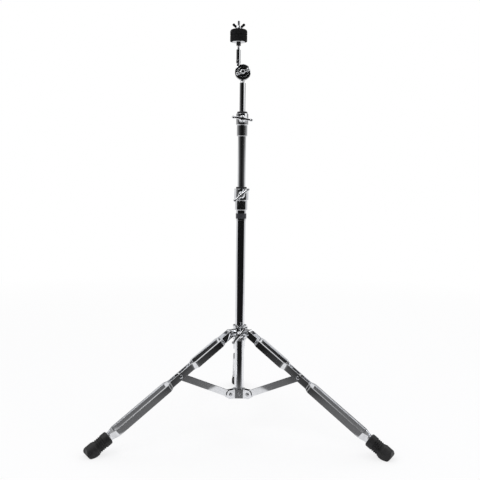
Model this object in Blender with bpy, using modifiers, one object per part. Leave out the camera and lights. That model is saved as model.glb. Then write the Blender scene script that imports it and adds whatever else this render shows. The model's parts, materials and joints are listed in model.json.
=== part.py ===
"""A straight cymbal stand: tripod, three sliding tubes, tilter, rod, felts and wing nut.

Metres, +Z up. The origin is on the floor, at the middle of the footprint. The front is -Y.
"""

import math

import bmesh
import bpy
from mathutils import Matrix, Vector

# Clearances
FIT_GAP = 0.0003
CUT_PAST = 0.002

# Fineness of the round pieces
TUBE_STEPS = 32
ROUND_STEPS = 24
SMALL_STEPS = 14
ARM_STEPS = 10
HOLE_STEPS = 15
BORE_STEPS = 30

# Lower tube, its plug, its ferrule and the band round it
LOWER_RADIUS = 0.0127
LOWER_WALL = 0.0012
LOWER_BOTTOM = 0.090
LOWER_TOP = 0.610
PLUG_DEPTH = 0.015
PLUG_FLANGE = 0.003
FERRULE_WALL = 0.0006
FERRULE_BOTTOM = 0.566
BAND_WALL = 0.0006
BAND_BOTTOM = 0.571
BAND_HEIGHT = 0.014

# Middle and upper tubes
MIDDLE_RADIUS = 0.0111
MIDDLE_WALL = 0.0012
MIDDLE_BOTTOM = 0.315
MIDDLE_TOP = 0.820
UPPER_RADIUS = 0.00795
UPPER_WALL = 0.0012
UPPER_BOTTOM = 0.550
UPPER_TOP = 0.941

# Receivers: sleeve below, step, clamp above, boss in front
LOWER_SLEEVE = 0.0168
LOWER_SLEEVE_BOTTOM = 0.594
LOWER_STEP = 0.620
LOWER_CLAMP = 0.0195
LOWER_CLAMP_TOP = 0.652
LOWER_BOSS = 0.009
LOWER_BOSS_FRONT = 0.025
LOWER_BOLT_HEIGHT = 0.636
UPPER_SLEEVE = 0.0142
UPPER_SLEEVE_BOTTOM = 0.795
UPPER_STEP = 0.825
UPPER_CLAMP = 0.0165
UPPER_CLAMP_TOP = 0.857
UPPER_BOSS = 0.0085
UPPER_BOSS_FRONT = 0.022
UPPER_BOLT_HEIGHT = 0.841
STEP_HEIGHT = 0.002
STEP_DEPTH = 0.001
EDGE = 0.001
BUSH_FLANGE_HEIGHT = 0.005
LOWER_BUSH_FLANGE = 0.0146
UPPER_BUSH_FLANGE = 0.014

# Wing bolts
BOLT_SHANK = 0.0038
ARM_MIDDLE = 0.0050
ARM_NECK = 0.0032
ARM_BALL = 0.0045
WING_BOSS_LENGTH = 0.0125
WING_ARM_FRONT = 0.0090
LOWER_WING_BOSS = 0.0095
LOWER_WING_HALF = 0.027
LOWER_WING_ROLL = math.radians(40.6)
UPPER_WING_BOSS = 0.0090
UPPER_WING_HALF = 0.0286
UPPER_WING_ROLL = math.radians(-8.5)
HUB_WING_BOSS = 0.0095
HUB_WING_HALF = 0.031
HUB_WING_ROLL = math.radians(51.2)

# Leg hub
HUB_HEIGHT = 0.261
HUB_COLLAR = 0.018
HUB_RIM = 0.0008
HUB_RIM_HEIGHT = 0.004
HUB_HALF = 0.020
HUB_BORE = 0.0145
HUB_LINER_WALL = 0.0012
LUG_START = 0.013
LUG_HALF = 0.008
LUG_END = 0.0085
HUB_BOSS = 0.0085
HUB_BOSS_FRONT = 0.027

# Legs
LEG_AZIMUTHS = {"left": 210.0, "right": 330.0, "rear": 90.0}
STRAP_SIDES = {
    "left": {1: "front", -1: "rear"},
    "right": {1: "rear", -1: "front"},
    "rear": {1: "left", -1: "right"},
}
LEG_ANGLE = math.radians(33.04)
PIVOT_RADIUS = 0.030
STRAP_WALL = 0.0015
STRAP_HALF_HEIGHT = 0.009
STRAP_HEEL = 0.009
STRAP_END = 0.450
HUB_OFFSET = 0.0105
LOBE_OFFSET = 0.0165
PINCH_OFFSET = 0.0075
FOOT_OFFSET = 0.008
WIDE_LIP = 0.005
NARROW_LIP = 0.002
FIRST_JOG = (0.028, 0.0415)
SECOND_JOG = (0.1225, 0.140)
THIRD_JOG = (0.207, 0.222)
FOURTH_JOG = (0.384, 0.403)
STAY_JOINT = 0.1777
PIN_RADIUS = 0.0032
PIN_HEAD = 0.0050
PIN_HEAD_HEIGHT = 0.0016

# Rubber feet
FOOT_START = 0.406
FOOT_MOUTH = 0.0138
FOOT_RADIUS = 0.017
FOOT_BLOCK = 0.0185
RIB_START = 0.423
RIB_PITCH = 0.005
RIB_COUNT = 4
RIB_DEPTH = 0.0018
BLOCK_START = 0.445
FOOT_END = 0.484
TOE_REACH = 0.430

# Stays and spider
STAY_HALF_WIDTH = 0.005
STAY_HALF_HEIGHT = 0.009
STAY_WALL = 0.0015
SPIDER_HEIGHT = 0.097
SPIDER_BOTTOM = 0.084
SPIDER_TOP = 0.1087
SPIDER_FACET = 0.015
SPIDER_FACET_HALF = 0.011
CHEEK_START = 0.0115
CHEEK_OUTSIDE = 0.0075
CHEEK_GAP = 0.0055
CHEEK_END = 0.0122
SLOT_START = 0.0182
SPIDER_SCREW_RADIUS = 0.0026
SPIDER_SCREW_HEAD = 0.0040
SPIDER_SCREW_HEAD_HEIGHT = 0.002

# Tilter
TILTER_HEIGHT = 0.9695
TILTER_RADIUS = 0.0215
TILTER_HEAD_FRONT = 0.011
TILTER_HEAD_BACK = 0.0023
TILTER_BASE_FRONT = 0.001
TILTER_BASE_BACK = 0.008
TILTER_WASHER_RADIUS = 0.0195
TILTER_BOLT = 0.0030
TILTER_WING_BOSS = 0.007
TILTER_WING_BOSS_LENGTH = 0.0087
TILTER_WING_ARM = 0.0057
TILTER_WING_HALF = 0.020
TILTER_WING_ROLL = math.radians(22.2)
TILTER_NUT_RADIUS = 0.0062
TILTER_NUT_LENGTH = 0.005
TILTER_BOLT_TAIL = 0.001
NECK_RADIUS = 0.0055
SPIGOT_DEPTH = 0.018
NECK_TOP = 0.0472
NECK_BLOCK_HALF = 0.005
NECK_BLOCK_RISE = 0.012

# Cymbal rod and seat
ROD_OFFSET = -0.0125
ROD_BOSS = 0.0070
ROD_BOSS_TOP = 1.002
ROD_RADIUS = 0.0059
ROD_SHOULDER = 1.031
ROD_SPIGOT = 0.0035
ROD_SPIGOT_DEPTH = 0.018
THREAD_RADIUS = 0.0034
THREAD_CHAMFER = 0.0008
ROD_TIP = 1.109
SLEEVE_COLLAR = 0.0060
SLEEVE_COLLAR_BOTTOM = 1.0405
SLEEVE_WALL = 0.0015
WASHER_RADIUS = 0.0175
WASHER_BOTTOM = 1.0500
WASHER_HEIGHT = 0.0016
WASHER_DISH = 0.0010
FELT_RADIUS = 0.0235
FELT_HEIGHT = 0.0165
FELT_ROUND = 0.0065
FELT_EDGE = 0.0012
TOP_WASHER_RADIUS = 0.0095
TOP_WASHER_HEIGHT = 0.0012
NUT_BODY = 0.0075
NUT_HEIGHT = 0.0085
EAR_THICK = 0.0034
EAR_SPAN = 0.0175
EAR_WIDTH = 0.008
EAR_TOP = 0.0145
EAR_START = 0.0052

# Colours: base colour, roughness, metallic
LOOKS = {
    "chrome": ((0.78, 0.79, 0.80), 0.10, 1.0),
    "steel": ((0.60, 0.61, 0.62), 0.30, 1.0),
    "nylon": ((0.02, 0.02, 0.022), 0.45, 0.0),
    "rubber": ((0.025, 0.025, 0.026), 0.75, 0.0),
    "felt": ((0.018, 0.018, 0.018), 0.95, 0.0),
    "band": ((0.06, 0.06, 0.065), 0.40, 0.0),
}

# Worked out from the sizes above
LEG_COS = math.cos(LEG_ANGLE)
LEG_SIN = math.sin(LEG_ANGLE)
STAY_RUN = STAY_JOINT * LEG_COS
STAY_RISE = HUB_HEIGHT - STAY_JOINT * LEG_SIN - SPIDER_HEIGHT
STAY_LENGTH = math.hypot(STAY_RUN, STAY_RISE)
STAY_ANGLE = math.atan2(STAY_RISE, STAY_RUN)
TOE_SIDE = FOOT_BLOCK * math.cos(math.radians(30.0))
COLUMN_SHIFT = -(TOE_REACH - (TOE_REACH * math.sin(math.radians(30.0)) + TOE_SIDE)) / 2
RECEIVER_BORE = LOWER_RADIUS + FIT_GAP
UPPER_RECEIVER_BORE = MIDDLE_RADIUS + FIT_GAP
PIN_HOLE = PIN_RADIUS + FIT_GAP
ROD_DEPTH = -(TILTER_HEAD_FRONT + TILTER_HEAD_BACK) / 2
SLEEVE_RADIUS = THREAD_RADIUS + FIT_GAP + SLEEVE_WALL
SEAT_BORE = SLEEVE_RADIUS + FIT_GAP
LOWER_FELT_BOTTOM = WASHER_BOTTOM + WASHER_HEIGHT + FIT_GAP
UPPER_FELT_BOTTOM = LOWER_FELT_BOTTOM + FELT_HEIGHT + FIT_GAP
TOP_WASHER_BOTTOM = UPPER_FELT_BOTTOM + FELT_HEIGHT + FIT_GAP
NUT_BOTTOM = TOP_WASHER_BOTTOM + TOP_WASHER_HEIGHT + FIT_GAP


def clear_scene():
    """Remove the objects that the file holds."""
    for obj in list(bpy.data.objects):
        bpy.data.objects.remove(obj)


def new_collection(name):
    """Add a collection to the scene."""
    made = bpy.data.collections.new(name)
    bpy.context.scene.collection.children.link(made)
    return made


clear_scene()
PARTS = new_collection("cymbal_stand")
CUTTERS = new_collection("cutters")


def make_material(name):
    """Make one Principled material from its colour, roughness and metallic value."""
    colour, roughness, metallic = LOOKS[name]
    material = bpy.data.materials.new(name)
    material.use_nodes = True
    shader = material.node_tree.nodes["Principled BSDF"]
    shader.inputs["Base Color"].default_value = (*colour, 1.0)
    shader.inputs["Roughness"].default_value = roughness
    shader.inputs["Metallic"].default_value = metallic
    return material


MATERIALS = {name: make_material(name) for name in LOOKS}


def empty(name, parent=None, place=(0, 0, 0), turn=(0, 0, 0)):
    """Add an empty, such as a joint's frame."""
    made = bpy.data.objects.new(name, None)
    made.empty_display_size = 0.02
    PARTS.objects.link(made)
    made.parent = parent
    made.location = place
    made.rotation_euler = turn
    return made


def add_piece(name, mesh, look, parent, place=(0, 0, 0), turn=(0, 0, 0)):
    """Add a named piece with its material."""
    made = bpy.data.objects.new(name, mesh)
    PARTS.objects.link(made)
    made.parent = parent
    made.location = place
    made.rotation_euler = turn
    mesh.materials.append(MATERIALS[look])
    return made


def add_tool(name, mesh, parent, place=(0, 0, 0), turn=(0, 0, 0)):
    """Add a hidden shape that cuts or joins a piece."""
    made = bpy.data.objects.new(name, mesh)
    CUTTERS.objects.link(made)
    made.parent = parent
    made.location = place
    made.rotation_euler = turn
    made.hide_render = True
    made.display_type = "WIRE"
    return made


def combine(piece, tool, operation):
    """Cut a piece with a hidden shape, or join the two."""
    modifier = piece.modifiers.new(tool.name, "BOOLEAN")
    modifier.operation = operation
    modifier.solver = "EXACT"
    modifier.object = tool


def cut(piece, mesh, parent, place=(0, 0, 0), turn=(0, 0, 0)):
    """Cut a piece with a mesh."""
    combine(piece, add_tool(piece.name + "_cut", mesh, parent, place, turn), "DIFFERENCE")


def join(piece, mesh, parent, place=(0, 0, 0), turn=(0, 0, 0)):
    """Join a mesh to a piece."""
    combine(piece, add_tool(piece.name + "_join", mesh, parent, place, turn), "UNION")


def turned_mesh(name, profile, ring=False):
    """Make the edges of a profile of (radius, height) points, from its top down."""
    mesh = bpy.data.meshes.new(name)
    shape = bmesh.new()
    points = [shape.verts.new((radius, 0, height)) for radius, height in profile]
    for start, end in zip(points, points[1:]):
        shape.edges.new((start, end))
    if ring:
        shape.edges.new((points[-1], points[0]))
    shape.to_mesh(mesh)
    shape.free()
    return mesh


def spin(made, steps):
    """Turn a profile about its object's Z axis."""
    modifier = made.modifiers.new("turn", "SCREW")
    modifier.axis = "Z"
    modifier.angle = math.tau
    modifier.steps = steps
    modifier.render_steps = steps
    modifier.use_merge_vertices = True
    modifier.merge_threshold = 0.000001
    modifier.use_smooth_shade = True
    return made


def turned(name, profile, look, parent, steps=ROUND_STEPS, ring=False,
           place=(0, 0, 0), turn=(0, 0, 0)):
    """Add a turned piece."""
    mesh = turned_mesh(name, profile, ring)
    return spin(add_piece(name, mesh, look, parent, place, turn), steps)


def turned_tool(name, profile, parent, steps=SMALL_STEPS, place=(0, 0, 0), turn=(0, 0, 0)):
    """Add a turned hidden shape."""
    mesh = turned_mesh(name, profile)
    return spin(add_tool(name, mesh, parent, place, turn), steps)


def tube_profile(outside, inside, bottom, top):
    """Give the closed section of a plain tube."""
    return [(outside, top), (outside, bottom), (inside, bottom), (inside, top)]


def cylinders_mesh(name, rods, steps=SMALL_STEPS):
    """Make a mesh of cylinders, each from one point to another with a radius."""
    mesh = bpy.data.meshes.new(name)
    shape = bmesh.new()
    for start, end, radius in rods:
        axis = Vector(end) - Vector(start)
        middle = (Vector(end) + Vector(start)) / 2
        matrix = Matrix.Translation(middle) @ axis.to_track_quat("Z", "Y").to_matrix().to_4x4()
        bmesh.ops.create_cone(shape, cap_ends=True, segments=steps, radius1=radius,
                              radius2=radius, depth=axis.length, matrix=matrix)
    shape.to_mesh(mesh)
    shape.free()
    return mesh


def boxes_mesh(name, corners, turns=(0.0,)):
    """Make a mesh of one box from its two corners, repeated at turns about Z."""
    low, high = Vector(corners[0]), Vector(corners[1])
    size = high - low
    mesh = bpy.data.meshes.new(name)
    shape = bmesh.new()
    for angle in turns:
        matrix = (Matrix.Rotation(angle, 4, "Z") @ Matrix.Translation((low + high) / 2)
                  @ Matrix.Diagonal((*size, 1.0)))
        bmesh.ops.create_cube(shape, size=1.0, matrix=matrix)
    shape.to_mesh(mesh)
    shape.free()
    return mesh


def plate_mesh(name, outline, thickness, matrices=(Matrix(),)):
    """Make a flat outline in X and Y into a plate about Z = 0, once for each matrix."""
    curve = bpy.data.curves.new(name, "CURVE")
    curve.dimensions = "2D"
    curve.fill_mode = "BOTH"
    curve.extrude = thickness / 2
    spline = curve.splines.new("POLY")
    spline.points.add(len(outline) - 1)
    for point, (across, up) in zip(spline.points, outline):
        point.co = (across, up, 0, 1)
    spline.use_cyclic_u = True
    drawn = bpy.data.objects.new(name, curve)
    CUTTERS.objects.link(drawn)
    graph = bpy.context.evaluated_depsgraph_get()
    flat = bpy.data.meshes.new_from_object(drawn.evaluated_get(graph))
    bpy.data.objects.remove(drawn)
    mesh = bpy.data.meshes.new(name)
    shape = bmesh.new()
    for matrix in matrices:
        copy = flat.copy()
        copy.transform(matrix)
        shape.from_mesh(copy)
    bmesh.ops.remove_doubles(shape, verts=shape.verts, dist=0.00001)
    bmesh.ops.recalc_face_normals(shape, faces=shape.faces)
    shape.to_mesh(mesh)
    shape.free()
    return mesh


def arc(centre, radius, start, end, count):
    """Give points on an arc, in degrees from +X."""
    points = []
    for index in range(count):
        angle = math.radians(start + (end - start) * index / (count - 1))
        points.append((centre[0] + radius * math.cos(angle), centre[1] + radius * math.sin(angle)))
    return points


def leg_turns():
    """Give the turn about Z of each leg direction."""
    return [math.radians(azimuth) for azimuth in LEG_AZIMUTHS.values()]


def leg_rods(height, half, radius):
    """Give a cross rod at the pivot of each leg direction."""
    rods = []
    for angle in leg_turns():
        pivot = Vector((PIVOT_RADIUS * math.cos(angle), PIVOT_RADIUS * math.sin(angle), height))
        side = Vector((-math.sin(angle), math.cos(angle), 0)) * half
        rods.append((pivot - side, pivot + side, radius))
    return rods


def upright_matrices(height):
    """Stand a plate's outline on edge in each leg direction: its X runs outwards, its Y up."""
    return [Matrix.Translation((0, 0, height)) @ Matrix.Rotation(angle, 4, "Z")
            @ Matrix.Rotation(math.radians(90.0), 4, "X") for angle in leg_turns()]


def front_frame(name, parent, height):
    """Add an empty whose Z axis points to the front."""
    return empty(name, parent, (0, 0, height), (math.radians(90.0), 0, 0))


def pin(name, half, parent, place=(0, 0, 0), turn=(0, 0, 0)):
    """Add a pin with a head past each end of its half length."""
    head = half + FIT_GAP
    tip = head + PIN_HEAD_HEIGHT
    profile = [(0, tip), (PIN_HEAD * 0.8, tip), (PIN_HEAD, head + PIN_HEAD_HEIGHT / 2), (PIN_HEAD, head),
               (PIN_RADIUS, head), (PIN_RADIUS, -head), (PIN_HEAD, -head),
               (PIN_HEAD, -head - PIN_HEAD_HEIGHT / 2), (PIN_HEAD * 0.8, -tip), (0, -tip)]
    return turned(name, profile, "steel", parent, SMALL_STEPS, False, place, turn)


def wing_bolt(name, frame, tip, back, length, arm, boss, half, roll, shank):
    """Add a wing bolt: a turned boss and shank with a round arm to each side."""
    front = back + length
    profile = [(0, front), (boss * 0.55, front), (boss * 0.8, front - EDGE), (boss, front - length * 0.4),
               (boss, back + EDGE), (boss - EDGE, back), (shank, back), (shank, tip), (0, tip)]
    made = turned(name, profile, "chrome", frame, SMALL_STEPS + 4)
    ball = half - ARM_BALL
    end = [(0, half)] + arc((0, ball), ARM_BALL, 60, -50, 4)
    mirrored = [(radius, -height) for radius, height in reversed(end)]
    inner = ball - ARM_BALL * 1.3
    profile = end + [(ARM_NECK, inner), (ARM_MIDDLE, 0), (ARM_NECK, -inner)] + mirrored
    arms = turned_tool(name + "_arms", profile, frame, ARM_STEPS, (0, 0, back + arm),
                       (0, math.radians(90.0), roll))
    combine(made, arms, "UNION")
    return made


def receiver(name, parent, sizes):
    """Add a receiver: a sleeve, a step, a clamp with a boss in front, a bore and a bolt hole."""
    bore, sleeve, bottom, step, clamp, top, boss, boss_front, bolt = sizes
    profile = [(0, top), (clamp - EDGE, top), (clamp, top - EDGE), (clamp, step + STEP_HEIGHT / 2),
               (sleeve - STEP_DEPTH / 2, step + STEP_HEIGHT / 2), (sleeve - STEP_DEPTH / 2, step - STEP_HEIGHT / 2),
               (sleeve, step - STEP_HEIGHT / 2 - STEP_DEPTH / 2), (sleeve, bottom + EDGE),
               (sleeve - EDGE, bottom), (0, bottom)]
    made = turned(name, profile, "chrome", parent)
    join(made, cylinders_mesh(name + "_boss", [((0, -boss, bolt), (0, -boss_front, bolt), boss)], ROUND_STEPS), parent)
    cut(made, cylinders_mesh(name + "_bore", [((0, 0, bottom - CUT_PAST), (0, 0, top + CUT_PAST), bore)],
                             BORE_STEPS), parent)
    hole = BOLT_SHANK + FIT_GAP
    drill = [((0, -boss, bolt), (0, -boss_front - CUT_PAST, bolt), hole)]
    cut(made, cylinders_mesh(name + "_hole", drill, HOLE_STEPS), parent)
    return made


def bush(name, parent, outside, inside, bottom, flange_bottom, flange):
    """Add a bush with a flange on top."""
    top = flange_bottom + BUSH_FLANGE_HEIGHT
    profile = [(flange - EDGE, top), (flange, top - EDGE), (flange, flange_bottom), (outside, flange_bottom),
               (outside, bottom), (inside, bottom), (inside, top)]
    return turned(name, profile, "nylon", parent, TUBE_STEPS, True)


def build_lower_column(column):
    """Build the pieces that are fixed to the lower tube."""
    inside = LOWER_RADIUS - LOWER_WALL
    turned("lower_tube", tube_profile(LOWER_RADIUS, inside, LOWER_BOTTOM, LOWER_TOP), "chrome",
           column, TUBE_STEPS, True)
    plug = inside - FIT_GAP
    seat = LOWER_BOTTOM - FIT_GAP
    turned("tube_plug", [(0, seat + PLUG_DEPTH), (plug, seat + PLUG_DEPTH), (plug, seat), (LOWER_RADIUS, seat),
                         (LOWER_RADIUS, seat - PLUG_FLANGE), (0, seat - PLUG_FLANGE)], "nylon", column)
    ferrule_top = LOWER_SLEEVE_BOTTOM - FIT_GAP
    ferrule = RECEIVER_BORE + FERRULE_WALL
    turned("tube_ferrule", tube_profile(ferrule, RECEIVER_BORE, FERRULE_BOTTOM, ferrule_top), "chrome",
           column, TUBE_STEPS, True)
    band = ferrule + FIT_GAP
    turned("badge_band", tube_profile(band + BAND_WALL, band, BAND_BOTTOM, BAND_BOTTOM + BAND_HEIGHT), "band",
           column, TUBE_STEPS, True)
    receiver("lower_receiver", column, (RECEIVER_BORE, LOWER_SLEEVE, LOWER_SLEEVE_BOTTOM, LOWER_STEP, LOWER_CLAMP,
                                        LOWER_CLAMP_TOP, LOWER_BOSS, LOWER_BOSS_FRONT, LOWER_BOLT_HEIGHT))
    bush("lower_bush", column, LOWER_RADIUS, MIDDLE_RADIUS + FIT_GAP, LOWER_TOP + FIT_GAP,
         LOWER_CLAMP_TOP + FIT_GAP, LOWER_BUSH_FLANGE)
    frame = front_frame("lower_wing_axis", column, LOWER_BOLT_HEIGHT)
    wing_bolt("lower_wing_bolt", frame, LOWER_RADIUS + FIT_GAP, LOWER_BOSS_FRONT + FIT_GAP, WING_BOSS_LENGTH,
              WING_ARM_FRONT, LOWER_WING_BOSS, LOWER_WING_HALF, LOWER_WING_ROLL, BOLT_SHANK)


def build_upper_column(column):
    """Build the middle and upper tubes with their receiver and bush."""
    turned("middle_tube", tube_profile(MIDDLE_RADIUS, MIDDLE_RADIUS - MIDDLE_WALL, MIDDLE_BOTTOM, MIDDLE_TOP),
           "chrome", column, TUBE_STEPS, True)
    receiver("upper_receiver", column, (UPPER_RECEIVER_BORE, UPPER_SLEEVE, UPPER_SLEEVE_BOTTOM, UPPER_STEP,
                                        UPPER_CLAMP, UPPER_CLAMP_TOP, UPPER_BOSS, UPPER_BOSS_FRONT,
                                        UPPER_BOLT_HEIGHT))
    bush("upper_bush", column, MIDDLE_RADIUS, UPPER_RADIUS + FIT_GAP, MIDDLE_TOP + FIT_GAP,
         UPPER_CLAMP_TOP + FIT_GAP, UPPER_BUSH_FLANGE)
    frame = front_frame("upper_wing_axis", column, UPPER_BOLT_HEIGHT)
    wing_bolt("upper_wing_bolt", frame, MIDDLE_RADIUS + FIT_GAP, UPPER_BOSS_FRONT + FIT_GAP, WING_BOSS_LENGTH,
              WING_ARM_FRONT, UPPER_WING_BOSS, UPPER_WING_HALF, UPPER_WING_ROLL, BOLT_SHANK)
    turned("upper_tube", tube_profile(UPPER_RADIUS, UPPER_RADIUS - UPPER_WALL, UPPER_BOTTOM, UPPER_TOP),
           "chrome", column, TUBE_STEPS, True)


def build_hub(column):
    """Build the sliding hub with its liner, pins and wing bolt."""
    top = HUB_HEIGHT + HUB_HALF
    bottom = HUB_HEIGHT - HUB_HALF
    rim = HUB_COLLAR + HUB_RIM
    profile = [(0, top), (rim - EDGE, top), (rim, top - EDGE), (rim, top - HUB_RIM_HEIGHT),
               (HUB_COLLAR, top - HUB_RIM_HEIGHT - HUB_RIM), (HUB_COLLAR, bottom + HUB_RIM_HEIGHT + HUB_RIM),
               (rim, bottom + HUB_RIM_HEIGHT), (rim, bottom + EDGE), (rim - EDGE, bottom), (0, bottom)]
    hub = turned("leg_hub", profile, "chrome", column, TUBE_STEPS)
    outline = ([(LUG_START, LUG_END), (LUG_START, -LUG_END)]
               + arc((PIVOT_RADIUS, 0), LUG_END, -90, 90, 9))
    join(hub, plate_mesh("hub_lugs", outline, 2 * LUG_HALF, upright_matrices(HUB_HEIGHT)), column)
    start = (0, -LUG_START, HUB_HEIGHT)
    join(hub, cylinders_mesh("hub_boss", [(start, (0, -HUB_BOSS_FRONT, HUB_HEIGHT), HUB_BOSS)], ROUND_STEPS), column)
    cut(hub, cylinders_mesh("hub_bore", [((0, 0, bottom - CUT_PAST), (0, 0, top + CUT_PAST), HUB_BORE)],
                            BORE_STEPS), column)
    hole = BOLT_SHANK + FIT_GAP
    drill = [((0, -HUB_BOSS, HUB_HEIGHT), (0, -HUB_BOSS_FRONT - CUT_PAST, HUB_HEIGHT), hole)]
    cut(hub, cylinders_mesh("hub_bolt_hole", drill, HOLE_STEPS), column)
    cut(hub, cylinders_mesh("hub_pin_holes", leg_rods(HUB_HEIGHT, LUG_HALF + CUT_PAST, PIN_HOLE)), column)
    liner = HUB_BORE - FIT_GAP
    turned("hub_sleeve", tube_profile(liner, liner - HUB_LINER_WALL, bottom + EDGE, top - EDGE), "nylon",
           column, TUBE_STEPS, True)
    frame = front_frame("hub_wing_axis", column, HUB_HEIGHT)
    wing_bolt("hub_wing_bolt", frame, liner + FIT_GAP, HUB_BOSS_FRONT + FIT_GAP, WING_BOSS_LENGTH,
              WING_ARM_FRONT, HUB_WING_BOSS, HUB_WING_HALF, HUB_WING_ROLL, BOLT_SHANK)


def strap_stations():
    """Give the strap's outer offset, lip and half height at each place along it."""
    half = STRAP_HALF_HEIGHT
    return [
        (-STRAP_HEEL, HUB_OFFSET, NARROW_LIP, half * 0.45),
        (-STRAP_HEEL * 0.5, HUB_OFFSET, NARROW_LIP, half * 0.87),
        (0.0, HUB_OFFSET, NARROW_LIP, half),
        (FIRST_JOG[0], HUB_OFFSET, NARROW_LIP, half),
        (FIRST_JOG[1], LOBE_OFFSET, WIDE_LIP, half),
        (SECOND_JOG[0], LOBE_OFFSET, WIDE_LIP, half),
        (SECOND_JOG[1], PINCH_OFFSET, NARROW_LIP, half),
        (STAY_JOINT, PINCH_OFFSET, NARROW_LIP, half),
        (THIRD_JOG[0], PINCH_OFFSET, NARROW_LIP, half),
        (THIRD_JOG[1], LOBE_OFFSET, WIDE_LIP, half),
        (FOURTH_JOG[0], LOBE_OFFSET, WIDE_LIP, half),
        (FOURTH_JOG[1], FOOT_OFFSET, NARROW_LIP, half),
        (STRAP_END, FOOT_OFFSET, NARROW_LIP, half),
    ]


def strap_mesh(name, side):
    """Make the open surface of a strap: a web with a lip along each edge, turned inwards."""
    mesh = bpy.data.meshes.new(name)
    shape = bmesh.new()
    rows = []
    for along, offset, lip, half in strap_stations():
        section = [(offset - lip, half), (offset, half), (offset, -half), (offset - lip, -half)]
        rows.append([shape.verts.new((along, side * across, up)) for across, up in section])
    for before, after in zip(rows, rows[1:]):
        for index in range(3):
            corners = [before[index], before[index + 1], after[index + 1], after[index]]
            if side > 0:
                corners.reverse()
            shape.faces.new(corners)
    shape.to_mesh(mesh)
    shape.free()
    return mesh


def build_strap(name, side, frame):
    """Add one strap with its wall and its two holes."""
    made = add_piece(name, strap_mesh(name, side), "chrome", frame)
    wall = made.modifiers.new("wall", "SOLIDIFY")
    wall.thickness = STRAP_WALL
    wall.offset = -1.0
    wall.use_even_offset = True
    reach = LOBE_OFFSET * side
    rods = [((place, 0, 0), (place, reach, 0), PIN_HOLE) for place in (0.0, STAY_JOINT)]
    cut(made, cylinders_mesh(name + "_holes", rods), frame)
    return made


def build_strap_rivet(name, side, frame):
    """Add the stub that joins one strap to the stay, flush with the strap's inner face."""
    inner = PINCH_OFFSET - STRAP_WALL
    head = PINCH_OFFSET + FIT_GAP
    tip = head + PIN_HEAD_HEIGHT
    profile = [(0, tip), (PIN_HEAD * 0.8, tip), (PIN_HEAD, head + PIN_HEAD_HEIGHT / 2), (PIN_HEAD, head),
               (PIN_RADIUS, head), (PIN_RADIUS, inner), (0, inner)]
    turned(name, profile, "steel", frame, SMALL_STEPS, False, (STAY_JOINT, 0, 0),
           (math.radians(-90.0 * side), 0, 0))


def build_foot(name, frame, column, angle):
    """Add a ribbed rubber foot, flat under its sole and square at its toe."""
    profile = [(0, FOOT_END), (FOOT_BLOCK, FOOT_END), (FOOT_BLOCK, BLOCK_START + RIB_DEPTH),
               (FOOT_RADIUS, BLOCK_START)]
    for index in reversed(range(RIB_COUNT)):
        start = RIB_START + index * RIB_PITCH
        profile += [(FOOT_RADIUS, start + RIB_PITCH * 0.8), (FOOT_RADIUS - RIB_DEPTH, start + RIB_PITCH * 0.6),
                    (FOOT_RADIUS - RIB_DEPTH, start + RIB_PITCH * 0.2), (FOOT_RADIUS, start)]
    rounding = FOOT_RADIUS - FOOT_MOUTH
    profile += arc((FOOT_MOUTH, FOOT_START + rounding), rounding, 0, -90, 5)
    profile += [(0, FOOT_START)]
    made = turned(name, profile, "rubber", frame, ROUND_STEPS, False, (0, 0, 0), (0, math.radians(90.0), 0))
    wide = FOOT_OFFSET + FIT_GAP
    tall = STRAP_HALF_HEIGHT + FIT_GAP
    pocket = ((FOOT_START - CUT_PAST, -wide, -tall), (STRAP_END + FIT_GAP, wide, tall))
    cut(made, boxes_mesh(name + "_pocket", pocket), frame)
    below = ((TOE_REACH / 2, -TOE_REACH / 4, -TOE_REACH / 4), (TOE_REACH * 1.5, TOE_REACH / 4, 0.0))
    cut(made, boxes_mesh(name + "_floor", below), column, (0, 0, 0), (0, 0, angle))
    beyond = ((TOE_REACH, -TOE_REACH / 4, -TOE_REACH / 4), (TOE_REACH * 1.5, TOE_REACH / 4, TOE_REACH / 4))
    cut(made, boxes_mesh(name + "_toe", beyond), column, (0, 0, 0), (0, 0, angle))


def build_leg(leg, column):
    """Build one leg: its hub pin, two straps with their rivets, and its foot."""
    angle = math.radians(LEG_AZIMUTHS[leg])
    pivot = (PIVOT_RADIUS * math.cos(angle), PIVOT_RADIUS * math.sin(angle), HUB_HEIGHT)
    frame = empty(leg + "_leg_axis", column, pivot, (0, LEG_ANGLE, angle))
    pin(leg + "_hub_pin", HUB_OFFSET, frame, (0, 0, 0), (math.radians(90.0), 0, 0))
    for side, where in STRAP_SIDES[leg].items():
        build_strap(f"{leg}_leg_{where}_strap", side, frame)
        build_strap_rivet(f"{leg}_leg_{where}_rivet", side, frame)
    build_foot(leg + "_foot", frame, column, angle)


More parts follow.
